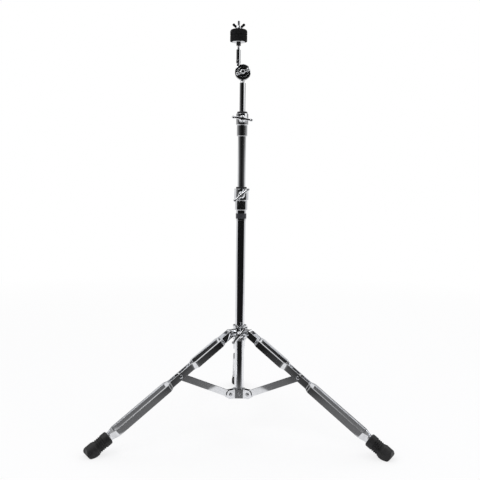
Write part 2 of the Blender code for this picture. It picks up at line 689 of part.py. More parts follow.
def build_stay(leg, column):
    """Build one stay, a channel open below, and its spider pin."""
    angle = math.radians(LEG_AZIMUTHS[leg])
    pivot = (PIVOT_RADIUS * math.cos(angle), PIVOT_RADIUS * math.sin(angle), SPIDER_HEIGHT)
    frame = empty(leg + "_stay_axis", column, pivot, (0, -STAY_ANGLE, angle))
    half = STAY_HALF_HEIGHT
    outline = arc((STAY_LENGTH, 0), half, -90, 90, 9) + arc((0, 0), half, 90, 270, 9)
    on_edge = (Matrix.Rotation(math.radians(90.0), 4, "X"),)
    name = leg + "_stay"
    made = add_piece(name, plate_mesh(name, outline, 2 * STAY_HALF_WIDTH, on_edge), "chrome", frame)
    wide = STAY_HALF_WIDTH - STAY_WALL
    inside = ((-half - CUT_PAST, -wide, -half - CUT_PAST),
              (STAY_LENGTH + half + CUT_PAST, wide, half - STAY_WALL))
    cut(made, boxes_mesh(name + "_inside", inside), frame)
    reach = STAY_HALF_WIDTH + CUT_PAST
    rods = [((place, -reach, 0), (place, reach, 0), PIN_HOLE) for place in (0.0, STAY_LENGTH)]
    cut(made, cylinders_mesh(name + "_holes", rods), frame)
    pin(leg + "_spider_pin", CHEEK_OUTSIDE, frame, (0, 0, 0), (math.radians(90.0), 0, 0))


def build_spider(column):
    """Build the spider: a six-sided collar with a pair of cheeks for each stay."""
    outline = []
    for turn in (0.0, 120.0, 240.0):
        facet = Matrix.Rotation(math.radians(turn), 2)
        for across in (-SPIDER_FACET_HALF, SPIDER_FACET_HALF):
            outline.append(tuple(facet @ Vector((across, -SPIDER_FACET))))
    height = SPIDER_TOP - SPIDER_BOTTOM
    middle = Matrix.Translation((0, 0, (SPIDER_TOP + SPIDER_BOTTOM) / 2))
    spider = add_piece("spider", plate_mesh("spider", outline, height, (middle,)), "chrome", column)
    low = SPIDER_BOTTOM - SPIDER_HEIGHT + FIT_GAP
    high = SPIDER_TOP - SPIDER_HEIGHT - FIT_GAP
    cheek = [(CHEEK_START, high), (CHEEK_START, low)] + arc((PIVOT_RADIUS, 0), CHEEK_END, -80, 60, 9)
    join(spider, plate_mesh("spider_cheeks", cheek, 2 * CHEEK_OUTSIDE, upright_matrices(SPIDER_HEIGHT)), column)
    slot = ((SLOT_START, -CHEEK_GAP, SPIDER_BOTTOM - CUT_PAST),
            (PIVOT_RADIUS + 2 * CHEEK_END, CHEEK_GAP, SPIDER_TOP + CUT_PAST))
    cut(spider, boxes_mesh("spider_slots", slot, leg_turns()), column)
    cut(spider, cylinders_mesh("spider_pin_holes", leg_rods(SPIDER_HEIGHT, CHEEK_OUTSIDE + CUT_PAST, PIN_HOLE)),
        column)
    bore = [((0, 0, SPIDER_BOTTOM - CUT_PAST), (0, 0, SPIDER_TOP + CUT_PAST), RECEIVER_BORE)]
    cut(spider, cylinders_mesh("spider_bore", bore, TUBE_STEPS), column)
    hole = SPIDER_SCREW_RADIUS + FIT_GAP
    drill = [((0, 0, SPIDER_HEIGHT), (0, -SPIDER_FACET - CUT_PAST, SPIDER_HEIGHT), hole)]
    cut(spider, cylinders_mesh("spider_screw_hole", drill), column)
    frame = front_frame("spider_screw_axis", column, SPIDER_HEIGHT)
    seat = SPIDER_FACET + FIT_GAP
    top = seat + SPIDER_SCREW_HEAD_HEIGHT
    tip = LOWER_RADIUS + FIT_GAP
    turned("spider_screw", [(0, top), (SPIDER_SCREW_HEAD - EDGE, top), (SPIDER_SCREW_HEAD, top - EDGE),
                            (SPIDER_SCREW_HEAD, seat), (SPIDER_SCREW_RADIUS, seat), (SPIDER_SCREW_RADIUS, tip),
                            (0, tip)], "steel", frame, SMALL_STEPS)


def disc_profile(radius, low, high):
    """Give the section of a disc with broken edges."""
    return [(0, high), (radius - EDGE, high), (radius, high - EDGE), (radius, low + EDGE),
            (radius - EDGE, low), (0, low)]


def build_tilter(column):
    """Build the tilter: a base on the upper tube, a washer, a head, a wing bolt and its nut."""
    frame = front_frame("tilter_axis", column, TILTER_HEIGHT)
    hole = TILTER_BOLT + FIT_GAP
    reach = TILTER_HEAD_FRONT + TILTER_BASE_BACK
    drill = [((0, 0, -reach), (0, 0, reach), hole)]
    base = turned("tilter_base", disc_profile(TILTER_RADIUS, -TILTER_BASE_BACK, TILTER_BASE_FRONT), "chrome",
                  frame, TUBE_STEPS)
    spigot = UPPER_RADIUS - UPPER_WALL - FIT_GAP
    seat = UPPER_TOP + FIT_GAP
    disc_bottom = TILTER_HEIGHT - TILTER_RADIUS
    neck_top = disc_bottom - EDGE
    neck = turned_tool("tilter_neck", [(0, neck_top), (NECK_RADIUS, neck_top), (NECK_RADIUS, seat), (spigot, seat),
                                       (spigot, UPPER_TOP - SPIGOT_DEPTH), (0, UPPER_TOP - SPIGOT_DEPTH)],
                       column, ROUND_STEPS)
    block = ((-NECK_BLOCK_HALF, -TILTER_BASE_FRONT + FIT_GAP, seat + EDGE),
             (NECK_BLOCK_HALF, NECK_RADIUS - FIT_GAP, neck_top + NECK_BLOCK_RISE))
    join(base, boxes_mesh("tilter_neck_block", block), column)
    combine(base, neck, "UNION")
    cut(base, cylinders_mesh("tilter_base_hole", drill), frame)
    turned("tilter_washer", tube_profile(TILTER_WASHER_RADIUS, hole, TILTER_BASE_FRONT + FIT_GAP,
                                         TILTER_HEAD_BACK - FIT_GAP), "nylon", frame, ROUND_STEPS, True)
    head = turned("tilter_head", disc_profile(TILTER_RADIUS, TILTER_HEAD_BACK, TILTER_HEAD_FRONT), "chrome",
                  frame, TUBE_STEPS)
    foot = (ROD_OFFSET, ROD_DEPTH, TILTER_HEIGHT)
    boss_radius = min(ROD_BOSS, (TILTER_HEAD_FRONT - TILTER_HEAD_BACK) / 2 - FIT_GAP / 2)
    boss = [(foot, (ROD_OFFSET, ROD_DEPTH, ROD_BOSS_TOP), boss_radius)]
    join(head, cylinders_mesh("tilter_rod_boss", boss, ROUND_STEPS), column)
    socket = [((ROD_OFFSET, ROD_DEPTH, ROD_BOSS_TOP - ROD_SPIGOT_DEPTH - FIT_GAP),
               (ROD_OFFSET, ROD_DEPTH, ROD_BOSS_TOP + CUT_PAST), ROD_SPIGOT + FIT_GAP)]
    cut(head, cylinders_mesh("tilter_rod_socket", socket), column)
    cut(head, cylinders_mesh("tilter_head_hole", drill), frame)
    nut_back = TILTER_BASE_BACK + FIT_GAP + TILTER_NUT_LENGTH
    wing_bolt("tilter_wing_bolt", frame, -nut_back - TILTER_BOLT_TAIL, TILTER_HEAD_FRONT + FIT_GAP,
              TILTER_WING_BOSS_LENGTH, TILTER_WING_ARM, TILTER_WING_BOSS, TILTER_WING_HALF, TILTER_WING_ROLL,
              TILTER_BOLT)
    outline = arc((0, 0), TILTER_NUT_RADIUS, 0, 300, 6)
    lift = Matrix.Translation((0, 0, -TILTER_BASE_BACK - FIT_GAP - TILTER_NUT_LENGTH / 2))
    nut = add_piece("tilter_nut", plate_mesh("tilter_nut", outline, TILTER_NUT_LENGTH, (lift,)), "steel", frame)
    cut(nut, cylinders_mesh("tilter_nut_hole", drill), frame)


def thread_profile(top, bottom):
    """Give the section of the threaded end with its tip broken."""
    return [(0, top), (THREAD_RADIUS - THREAD_CHAMFER, top), (THREAD_RADIUS, top - THREAD_CHAMFER),
            (THREAD_RADIUS, bottom)]


def felt_profile(bottom, rounding):
    """Give the section of a felt ring whose upper edge is rounded."""
    top = bottom + FELT_HEIGHT
    return ([(SEAT_BORE, top)] + arc((FELT_RADIUS - rounding, top - rounding), rounding, 90, 0, 6)
            + [(FELT_RADIUS, bottom + FELT_EDGE), (FELT_RADIUS - FELT_EDGE, bottom), (SEAT_BORE, bottom)])


def build_seat(column):
    """Build the cymbal rod and what sits on it."""
    frame = empty("rod_axis", column, (ROD_OFFSET, ROD_DEPTH, 0))
    seat = ROD_BOSS_TOP + FIT_GAP
    profile = thread_profile(ROD_TIP, ROD_SHOULDER + EDGE)
    profile += [(ROD_RADIUS - EDGE, ROD_SHOULDER), (ROD_RADIUS, ROD_SHOULDER - EDGE), (ROD_RADIUS, seat),
                (ROD_SPIGOT, seat), (ROD_SPIGOT, ROD_BOSS_TOP - ROD_SPIGOT_DEPTH),
                (0, ROD_BOSS_TOP - ROD_SPIGOT_DEPTH)]
    turned("cymbal_rod", profile, "chrome", frame, SMALL_STEPS)
    inside = THREAD_RADIUS + FIT_GAP
    collar_top = WASHER_BOTTOM - FIT_GAP
    sleeve_top = UPPER_FELT_BOTTOM + FELT_HEIGHT - EDGE
    turned("seat_sleeve", [(SLEEVE_RADIUS, sleeve_top), (SLEEVE_RADIUS, collar_top), (SLEEVE_COLLAR, collar_top),
                           (SLEEVE_COLLAR, SLEEVE_COLLAR_BOTTOM), (inside, SLEEVE_COLLAR_BOTTOM),
                           (inside, sleeve_top)], "nylon", frame, SMALL_STEPS, True)
    turned("cup_washer", [(WASHER_RADIUS, WASHER_BOTTOM + WASHER_HEIGHT),
                          (WASHER_RADIUS, WASHER_BOTTOM + WASHER_DISH),
                          (WASHER_RADIUS - WASHER_DISH, WASHER_BOTTOM), (SEAT_BORE, WASHER_BOTTOM),
                          (SEAT_BORE, WASHER_BOTTOM + WASHER_HEIGHT)], "chrome", frame, ROUND_STEPS, True)
    turned("lower_felt", felt_profile(LOWER_FELT_BOTTOM, FELT_EDGE), "felt", frame, ROUND_STEPS, True)
    turned("upper_felt", felt_profile(UPPER_FELT_BOTTOM, FELT_ROUND), "felt", frame, ROUND_STEPS, True)
    turned("top_washer", tube_profile(TOP_WASHER_RADIUS, inside, TOP_WASHER_BOTTOM,
                                      TOP_WASHER_BOTTOM + TOP_WASHER_HEIGHT), "chrome", frame, ROUND_STEPS, True)
    build_wing_nut(frame, inside)


def build_wing_nut(frame, bore):
    """Build the wing nut: a turned body with two raised ears."""
    top = NUT_BOTTOM + NUT_HEIGHT
    profile = [(0, top), (NUT_BODY * 0.7, top), (NUT_BODY * 0.85, top - EDGE), (NUT_BODY, NUT_BOTTOM + EDGE),
               (NUT_BODY, NUT_BOTTOM), (0, NUT_BOTTOM)]
    nut = turned("wing_nut", profile, "chrome", frame, SMALL_STEPS)
    round_end = EAR_WIDTH / 2
    centre = (EAR_SPAN - round_end, EAR_TOP - round_end)
    ear = [(EAR_START, EDGE), (NUT_BODY + EDGE, EDGE)] + arc(centre, round_end, -20, 180, 9)
    ear += [(EAR_START, NUT_HEIGHT - EDGE)]
    lift = Matrix.Translation((0, 0, NUT_BOTTOM))
    upright = Matrix.Rotation(math.radians(90.0), 4, "X")
    matrices = [lift @ Matrix.Rotation(angle, 4, "Z") @ upright for angle in (0.0, math.pi)]
    join(nut, plate_mesh("wing_nut_ears", ear, EAR_THICK, matrices), frame)
    drill = [((0, 0, NUT_BOTTOM - CUT_PAST), (0, 0, top + EAR_TOP), bore)]
    cut(nut, cylinders_mesh("wing_nut_hole", drill), frame)


def main():
    """Build the whole stand on its column's axis."""
    column = empty("column", None, (0, COLUMN_SHIFT, 0))
    build_lower_column(column)
    build_upper_column(column)
    build_hub(column)
    build_spider(column)
    for leg in LEG_AZIMUTHS:
        build_leg(leg, column)
        build_stay(leg, column)
    build_tilter(column)
    build_seat(column)


main()
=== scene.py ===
"""Finish, stage and camera for a chrome cymbal stand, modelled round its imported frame."""

import json
import math

import bmesh
import bpy
from mathutils import Matrix, Vector, noise


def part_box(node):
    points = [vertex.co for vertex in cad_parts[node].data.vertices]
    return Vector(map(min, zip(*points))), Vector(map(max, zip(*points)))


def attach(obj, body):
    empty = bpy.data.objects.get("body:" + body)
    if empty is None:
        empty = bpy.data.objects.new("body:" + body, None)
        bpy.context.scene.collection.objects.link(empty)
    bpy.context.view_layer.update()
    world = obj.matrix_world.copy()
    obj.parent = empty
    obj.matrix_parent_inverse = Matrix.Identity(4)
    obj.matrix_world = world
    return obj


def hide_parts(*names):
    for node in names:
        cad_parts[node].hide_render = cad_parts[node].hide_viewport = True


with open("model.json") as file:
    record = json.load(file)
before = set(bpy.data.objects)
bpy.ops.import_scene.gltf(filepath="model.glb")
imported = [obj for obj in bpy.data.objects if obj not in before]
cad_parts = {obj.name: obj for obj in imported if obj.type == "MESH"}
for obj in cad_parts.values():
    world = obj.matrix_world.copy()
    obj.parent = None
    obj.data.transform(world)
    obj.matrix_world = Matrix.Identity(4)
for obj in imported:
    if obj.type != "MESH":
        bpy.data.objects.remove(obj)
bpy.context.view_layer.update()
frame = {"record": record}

bl_info = {
    "name": "Cymbal Stand",
    "version": (1, 0, 0),
    "blender": (4, 5, 0),
    "location": "View3D > Sidebar > Stand",
    "description": "Models and finishes a chrome cymbal stand",
    "category": "Add Mesh",
}

BODY_OF = {node: body for body, nodes in frame["record"]["behaviour"]["bodies"].items() for node in nodes}
COLUMN = (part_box("lower_tube")[0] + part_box("lower_tube")[1]) / 2
AXIS = Matrix.Translation((COLUMN.x, COLUMN.y, 0))
MERGE = 0.000002
ROUND = 96
SMALL = 48
LEGS = {"left": 210.0, "right": 330.0, "rear": 90.0}
STRAP_SIDES = {
    "left": {1: "front", -1: "rear"},
    "right": {1: "rear", -1: "front"},
    "rear": {1: "left", -1: "right"},
}
QUARTER = math.radians(90.0)
GAP = 0.0003
BOLT_HOLE = 0.0041
BOLT_SHANK = 0.0038

# Bends along a strap: where each starts and ends, then the outer offset and the lip past it
STRAP_JOGS = (
    (0.028, 0.0415, 0.0165, 0.005),
    (0.1225, 0.140, 0.0075, 0.002),
    (0.207, 0.222, 0.0165, 0.005),
    (0.384, 0.403, 0.008, 0.002),
)


def length(name, description, default):
    """Give a size in metres for a property group."""
    return bpy.props.FloatProperty(name=name, description=description, default=default, unit="LENGTH")


def angle(name, description, default):
    """Give an angle, from degrees, for a property group."""
    return bpy.props.FloatProperty(name=name, description=description, default=math.radians(default),
                                   subtype="ANGLE")


def colour(name, description, default):
    """Give a colour for a property group."""
    return bpy.props.FloatVectorProperty(name=name, description=description, default=default, size=3,
                                         subtype="COLOR", min=0.0, max=1.0)


def share(name, description, default):
    """Give a plain factor for a property group."""
    return bpy.props.FloatProperty(name=name, description=description, default=default, min=0.0)


class StandColumnSizes(bpy.types.PropertyGroup):
    """Sizes of the column's tubes, receivers and bushes."""

    wall: length("Tube wall", "Wall of each tube", 0.0012)
    edge: length("Edge", "Rounding of turned edges", 0.0006)
    lower_sleeve: length("Lower sleeve", "Radius of the lower receiver's sleeve", 0.0168)
    lower_step: length("Lower step", "Height of the groove on the lower receiver", 0.620)
    upper_sleeve: length("Upper sleeve", "Radius of the upper receiver's sleeve", 0.0142)
    upper_step: length("Upper step", "Height of the groove on the upper receiver", 0.825)
    groove: length("Groove", "Width of the groove between sleeve and clamp", 0.0016)
    boss: length("Boss", "Radius of the boss that a wing bolt sits on", 0.0088)
    flange: length("Bush flange", "Height of the flange of a bush", 0.005)


class StandWingSizes(bpy.types.PropertyGroup):
    """Sizes of the wing bolts and of the wing nut."""

    lower_roll: angle("Lower roll", "Turn of the lower wing bolt", 40.6)
    upper_roll: angle("Upper roll", "Turn of the upper wing bolt", -8.5)
    hub_roll: angle("Hub roll", "Turn of the hub's wing bolt", 51.2)
    tilter_roll: angle("Tilter roll", "Turn of the tilter's wing bolt", 22.2)
    ball: length("Ball", "Radius of the ball at the end of an arm", 0.0045)
    neck: length("Neck", "Radius of an arm behind its ball", 0.0031)
    middle: length("Middle", "Radius of an arm at the boss", 0.0050)
    ear_thickness: length("Ear thickness", "Thickness of the wing nut's ears", 0.0032)


class StandTripodSizes(bpy.types.PropertyGroup):
    """Sizes of the hub, legs, stays, spider and feet."""

    hub_height: length("Hub height", "Height of the hub's pivots", 0.261)
    spider_height: length("Spider height", "Height of the spider's pivots", 0.097)
    pivot: length("Pivot radius", "Distance of the pivots from the column", 0.030)
    slope: angle("Leg slope", "Slope of a leg below level", 33.04)
    half_height: length("Half height", "Half the height of a strap", 0.009)
    strap_wall: length("Strap wall", "Sheet of the straps", 0.0015)
    stay_joint: length("Stay joint", "Distance along a leg to its stay", 0.1777)
    strap_end: length("Strap end", "End of a strap inside its foot", 0.450)
    pin: length("Pin", "Radius of the pins", 0.0032)
    pin_head: length("Pin head", "Radius of a pin's head", 0.0050)


class StandFinish(bpy.types.PropertyGroup):
    """Colours and gloss of the materials."""

    chrome: colour("Chrome", "Colour of the plating", (0.80, 0.81, 0.83))
    steel: colour("Steel", "Colour of pins and screws", (0.55, 0.56, 0.58))
    nylon: colour("Nylon", "Colour of the bushes", (0.014, 0.014, 0.016))
    rubber: colour("Rubber", "Colour of the feet", (0.008, 0.008, 0.0085))
    felt: colour("Felt", "Colour of the felts", (0.005, 0.005, 0.0055))
    band: colour("Band", "Colour of the band under the lower receiver", (0.045, 0.046, 0.052))
    chrome_roughness: share("Chrome roughness", "Roughness of the plating", 0.05)


class StandStage(bpy.types.PropertyGroup):
    """Camera, floor and lamps."""

    distance: length("Distance", "From the camera to the column", 1.925)
    camera_height: length("Camera height", "Height of the lens", 0.676)
    lens: share("Lens", "Focal length in millimetres on a 36 mm sensor", 52.9)
    shift: bpy.props.FloatProperty(name="Shift", description="Vertical lens shift", default=-0.125)
    roll: angle("Roll", "Roll of the camera", 0.71)
    orbit: angle("Orbit", "Turn of the camera round the column", 0.6)
    aside: length("Aside", "How far the lens stands left of the column", 0.0041)
    floor: colour("Floor", "Colour of the floor", (0.86, 0.86, 0.87))


def settings():
    """Give the property groups of the scene."""
    return bpy.context.scene.stand


class StandSettings(bpy.types.PropertyGroup):
    """All sizes and colours of the stand."""

    column: bpy.props.PointerProperty(type=StandColumnSizes, name="Column", description="Column sizes")
    wings: bpy.props.PointerProperty(type=StandWingSizes, name="Wings", description="Wing bolt sizes")
    tripod: bpy.props.PointerProperty(type=StandTripodSizes, name="Tripod", description="Tripod sizes")
    finish: bpy.props.PointerProperty(type=StandFinish, name="Finish", description="Colours and gloss")
    stage: bpy.props.PointerProperty(type=StandStage, name="Stage", description="Camera, floor and lamps")


def surface_group():
    """Build the shared effect of fine wear: uneven colour and roughness, and a height for bump."""
    found = bpy.data.node_groups.get("surface_wear")
    if found:
        return found
    group = bpy.data.node_groups.new("surface_wear", "ShaderNodeTree")
    for label, kind in (("Colour", "NodeSocketColor"), ("Worn Colour", "NodeSocketColor"),
                        ("Roughness", "NodeSocketFloat"), ("Worn Roughness", "NodeSocketFloat"),
                        ("Patch Scale", "NodeSocketFloat"), ("Grain Scale", "NodeSocketFloat")):
        group.interface.new_socket(label, in_out="INPUT", socket_type=kind)
    for label, kind in (("Colour", "NodeSocketColor"), ("Roughness", "NodeSocketFloat"),
                        ("Height", "NodeSocketFloat")):
        group.interface.new_socket(label, in_out="OUTPUT", socket_type=kind)
    nodes, links = group.nodes, group.links
    source = nodes.new("NodeGroupInput")
    target = nodes.new("NodeGroupOutput")
    place = nodes.new("ShaderNodeTexCoord")
    patches = nodes.new("ShaderNodeTexNoise")
    patches.inputs["Detail"].default_value = 4.0
    grain = nodes.new("ShaderNodeTexNoise")
    grain.inputs["Detail"].default_value = 6.0
    spread = nodes.new("ShaderNodeMapRange")
    spread.inputs["From Min"].default_value = 0.42
    spread.inputs["From Max"].default_value = 0.68
    tint = nodes.new("ShaderNodeMix")
    tint.data_type = "RGBA"
    rough = nodes.new("ShaderNodeMix")
    rough.data_type = "FLOAT"
    links.new(place.outputs["Object"], patches.inputs["Vector"])
    links.new(place.outputs["Object"], grain.inputs["Vector"])
    links.new(source.outputs["Patch Scale"], patches.inputs["Scale"])
    links.new(source.outputs["Grain Scale"], grain.inputs["Scale"])
    links.new(patches.outputs["Fac"], spread.inputs["Value"])
    links.new(spread.outputs["Result"], tint.inputs[0])
    links.new(source.outputs["Colour"], tint.inputs[6])
    links.new(source.outputs["Worn Colour"], tint.inputs[7])
    links.new(spread.outputs["Result"], rough.inputs[0])
    links.new(source.outputs["Roughness"], rough.inputs[2])
    links.new(source.outputs["Worn Roughness"], rough.inputs[3])
    links.new(tint.outputs[2], target.inputs["Colour"])
    links.new(rough.outputs[0], target.inputs["Roughness"])
    links.new(grain.outputs["Fac"], target.inputs["Height"])
    return group


def make_material(name, base, worn, roughness, worn_roughness, metallic, patch, grain, bump):
    """Make one material from the shared wear effect."""
    found = bpy.data.materials.get(name)
    if found:
        return found
    material = bpy.data.materials.new(name)
    material.use_nodes = True
    nodes, links = material.node_tree.nodes, material.node_tree.links
    shader = nodes["Principled BSDF"]
    shader.inputs["Metallic"].default_value = metallic
    wear = nodes.new("ShaderNodeGroup")
    wear.node_tree = surface_group()
    wear.inputs["Colour"].default_value = (*base, 1.0)
    wear.inputs["Worn Colour"].default_value = (*worn, 1.0)
    wear.inputs["Roughness"].default_value = roughness
    wear.inputs["Worn Roughness"].default_value = worn_roughness
    wear.inputs["Patch Scale"].default_value = patch
    wear.inputs["Grain Scale"].default_value = grain
    relief = nodes.new("ShaderNodeBump")
    relief.inputs["Strength"].default_value = 1.0
    relief.inputs["Distance"].default_value = bump
    links.new(wear.outputs["Colour"], shader.inputs["Base Color"])
    links.new(wear.outputs["Roughness"], shader.inputs["Roughness"])
    links.new(wear.outputs["Height"], relief.inputs["Height"])
    links.new(relief.outputs["Normal"], shader.inputs["Normal"])
    return material


def scaled(base, factor):
    """Give a colour made lighter or darker."""
    return tuple(min(1.0, part * factor) for part in base)


def stand_material(slot):
    """Give the material of one of the record's slots."""
    look = settings().finish
    if slot == "chrome":
        rough = look.chrome_roughness
        return make_material("chrome_plate", look.chrome, scaled(look.chrome, 0.93), rough, rough * 1.7, 1.0,
                             55.0, 900.0, 0.0000004)
    if slot == "steel":
        return make_material("zinc_steel", look.steel, scaled(look.steel, 0.8), 0.22, 0.38, 1.0,
                             180.0, 1500.0, 0.000006)
    if slot == "nylon":
        return make_material("black_nylon", look.nylon, scaled(look.nylon, 1.5), 0.38, 0.5, 0.0,
                             120.0, 2200.0, 0.00001)
    if slot == "rubber":
        return make_material("black_rubber", look.rubber, scaled(look.rubber, 2.0), 0.55, 0.75, 0.0,
                             60.0, 1800.0, 0.00003)
    if slot == "felt":
        material = make_material("pressed_felt", look.felt, scaled(look.felt, 2.2), 0.95, 1.0, 0.0,
                                 220.0, 1400.0, 0.0003)
        shader = material.node_tree.nodes["Principled BSDF"]
        shader.inputs["Sheen Weight"].default_value = 0.03
        shader.inputs["Specular IOR Level"].default_value = 0.15
        return material
    return make_material("dark_band", look.band, scaled(look.band, 1.4), 0.3, 0.42, 0.3,
                         90.0, 1200.0, 0.000004)


def lathe(profile, matrix=None, steps=ROUND, ring=False):
    """Turn a profile of (radius, height) points about Z, then place it."""
    shape = bmesh.new()
    points = [shape.verts.new((radius, 0.0, height)) for radius, height in profile]
    edges = [shape.edges.new(pair) for pair in zip(points, points[1:])]
    if ring:
        edges.append(shape.edges.new((points[-1], points[0])))
    bmesh.ops.spin(shape, geom=points + edges, cent=(0, 0, 0), axis=(0, 0, 1), angle=math.tau, steps=steps,
                   use_merge=True)
    bmesh.ops.remove_doubles(shape, verts=shape.verts, dist=MERGE)
    bmesh.ops.recalc_face_normals(shape, faces=shape.faces)
    bmesh.ops.transform(shape, matrix=matrix or AXIS, verts=shape.verts)
    return shape


def plate(outline, thickness, matrix):
    """Extrude a flat outline in X and Y into a plate about Z = 0, then place it."""
    shape = bmesh.new()
    points = [shape.verts.new((across, up, -thickness / 2)) for across, up in outline]
    shape.faces.new(points)
    grown = bmesh.ops.extrude_face_region(shape, geom=shape.faces[:])
    raised = [item for item in grown["geom"] if isinstance(item, bmesh.types.BMVert)]
    bmesh.ops.translate(shape, verts=raised, vec=(0, 0, thickness))
    bmesh.ops.recalc_face_normals(shape, faces=shape.faces)
    bmesh.ops.transform(shape, matrix=matrix, verts=shape.verts)
    return shape


def arc(centre, radius, start, end, count):
    """Give points on an arc, in degrees from +X."""
    turns = [math.radians(start + (end - start) * index / (count - 1)) for index in range(count)]
    return [(centre[0] + radius * math.cos(turn), centre[1] + radius * math.sin(turn)) for turn in turns]


def ring_section(outside, inside, low, high):
    """Give the closed section of a plain ring."""
    return [(outside, high), (outside, low), (inside, low), (inside, high)]


def finish_piece(node, shapes, slot, bevel=0.0, segments=2, sharp=32.0):
    """Make the finished piece of one CAD node from its shapes."""
    mesh = bpy.data.meshes.new(node + "_finished")
    whole = bmesh.new()
    for shape in shapes:
        part = bpy.data.meshes.new("part")
        shape.to_mesh(part)
        shape.free()
        whole.from_mesh(part)
        bpy.data.meshes.remove(part)
    whole.to_mesh(mesh)
    whole.free()
    mesh.shade_smooth()
    mesh.set_sharp_from_angle(angle=math.radians(sharp))
    mesh.materials.append(stand_material(slot))
    made = bpy.data.objects.new(node + "_finished", mesh)
    bpy.context.scene.collection.objects.link(made)
    if bevel:
        rounding = made.modifiers.new("rounding", "BEVEL")
        rounding.width = bevel
        rounding.segments = segments
        rounding.limit_method = "ANGLE"
        rounding.angle_limit = math.radians(sharp)
        rounding.harden_normals = True
    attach(made, BODY_OF[node])
    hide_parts(node)
    return made


def front_frame(height):
    """Give the frame whose Z points to the front at a height on the column."""
    return AXIS @ Matrix.Translation((0, 0, height)) @ Matrix.Rotation(QUARTER, 4, "X")


def radius_of(node):
    """Give half the width of a node."""
    low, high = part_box(node)
    return (high.x - low.x) / 2


def leg_frame(leg):
    """Give the frame of a leg: X along it, Y to its left, Z above it."""
    sizes = settings().tripod
    return (AXIS @ Matrix.Rotation(math.radians(LEGS[leg]), 4, "Z")
            @ Matrix.Translation((sizes.pivot, 0, sizes.hub_height)) @ Matrix.Rotation(sizes.slope, 4, "Y"))


def upright_frame(leg, height):
    """Give the frame of an upright plate in a leg's direction: X outwards, Y up."""
    return (AXIS @ Matrix.Rotation(math.radians(LEGS[leg]), 4, "Z") @ Matrix.Translation((0, 0, height))
            @ Matrix.Rotation(QUARTER, 4, "X"))


def tube_section(node):
    """Give the closed section of a tube with rounded rims."""
    sizes = settings().column
    low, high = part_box(node)
    outside = radius_of(node)
    inside = outside - sizes.wall
    rim = sizes.wall / 3
    return [(outside, high.z - rim), (outside, low.z + rim), (outside - rim, low.z), (inside + rim, low.z),
            (inside, low.z + rim), (inside, high.z - rim), (inside + rim, high.z), (outside - rim, high.z)]


class STAND_OT_tubes(bpy.types.Operator):
    """Model the three tubes, the plug, the ferrule and the band"""

    bl_idname = "stand.tubes"
    bl_label = "Tubes"

    def execute(self, context):
        for node in ("lower_tube", "middle_tube", "upper_tube"):
            finish_piece(node, [lathe(tube_section(node), ring=True)], "chrome")
        low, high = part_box("tube_plug")
        outside = radius_of("tube_plug")
        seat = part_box("lower_tube")[0].z
        bore = outside - context.scene.stand.column.wall * 1.25
        profile = [(0, high.z), (bore, high.z), (bore, seat), (outside, seat - GAP), (outside, low.z),
                   (0, low.z)]
        finish_piece("tube_plug", [lathe(profile)], "nylon", 0.0004)
        for node, slot, wall in (("tube_ferrule", "chrome", 0.0006), ("badge_band", "band", 0.0005)):
            low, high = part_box(node)
            outside = radius_of(node)
            section = ring_section(outside, outside - wall, low.z, high.z)
            finish_piece(node, [lathe(section, ring=True)], slot, 0.0002)
        return {"FINISHED"}


def receiver_shapes(node, bore, sleeve, step, bolt):
    """Give the turned body of a receiver and the boss in front of it."""
    sizes = settings().column
    low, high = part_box(node)
    clamp = radius_of(node)
    edge = sizes.edge
    half = sizes.groove / 2
    deep = sleeve - edge * 1.6
    profile = [(bore, high.z), (clamp - edge, high.z), (clamp, high.z - edge), (clamp, step + half * 2.4),
               (clamp - edge * 1.5, step + half), (deep, step + half), (deep, step - half),
               (sleeve, step - half), (sleeve, low.z + edge * 2.2), (sleeve - edge * 1.8, low.z),
               (bore, low.z)]
    front = COLUMN.y - low.y
    root = clamp * 0.5
    weld = edge * 1.6
    boss = [(sizes.boss - edge, front), (sizes.boss, front - edge), (sizes.boss, root), (BOLT_HOLE, root),
            (BOLT_HOLE, front)]
    fillet = [(sizes.boss + weld, clamp * 0.92), (sizes.boss + weld, root), (sizes.boss - edge, root),
              (sizes.boss - edge, clamp + weld)]
    return [lathe(profile, ring=True), lathe(boss, front_frame(bolt), SMALL, True),
            lathe(fillet, front_frame(bolt), SMALL, True)]


class STAND_OT_receivers(bpy.types.Operator):
    """Model the two receivers"""

    bl_idname = "stand.receivers"
    bl_label = "Receivers"

    def execute(self, context):
        sizes = context.scene.stand.column
        for place, tube, sleeve, step in (("lower", "lower_tube", sizes.lower_sleeve, sizes.lower_step),
                                          ("upper", "middle_tube", sizes.upper_sleeve, sizes.upper_step)):
            node = place + "_receiver"
            low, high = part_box(place + "_wing_bolt")
            shapes = receiver_shapes(node, radius_of(tube) + GAP, sleeve, step, (low.z + high.z) / 2)
            finish_piece(node, shapes, "chrome", 0.0005)
        return {"FINISHED"}


class STAND_OT_bushes(bpy.types.Operator):
    """Model the nylon bushes of the two clamps"""

    bl_idname = "stand.bushes"
    bl_label = "Bushes"

    def execute(self, context):
        sizes = context.scene.stand.column
        for node, outer, inner in (("lower_bush", "lower_tube", "middle_tube"),
                                   ("upper_bush", "middle_tube", "upper_tube")):
            low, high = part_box(node)
            flange = radius_of(node)
            body = radius_of(outer)
            bore = radius_of(inner) + GAP
            under = high.z - sizes.flange
            shoulder = 0.001
            mouth = 0.0008
            profile = [(bore + mouth, high.z), (flange - shoulder, high.z), (flange, high.z - shoulder),
                       (flange, under), (body, under), (body, low.z), (bore, low.z), (bore, high.z - mouth)]
            finish_piece(node, [lathe(profile, ring=True)], "nylon", 0.0003)
        return {"FINISHED"}


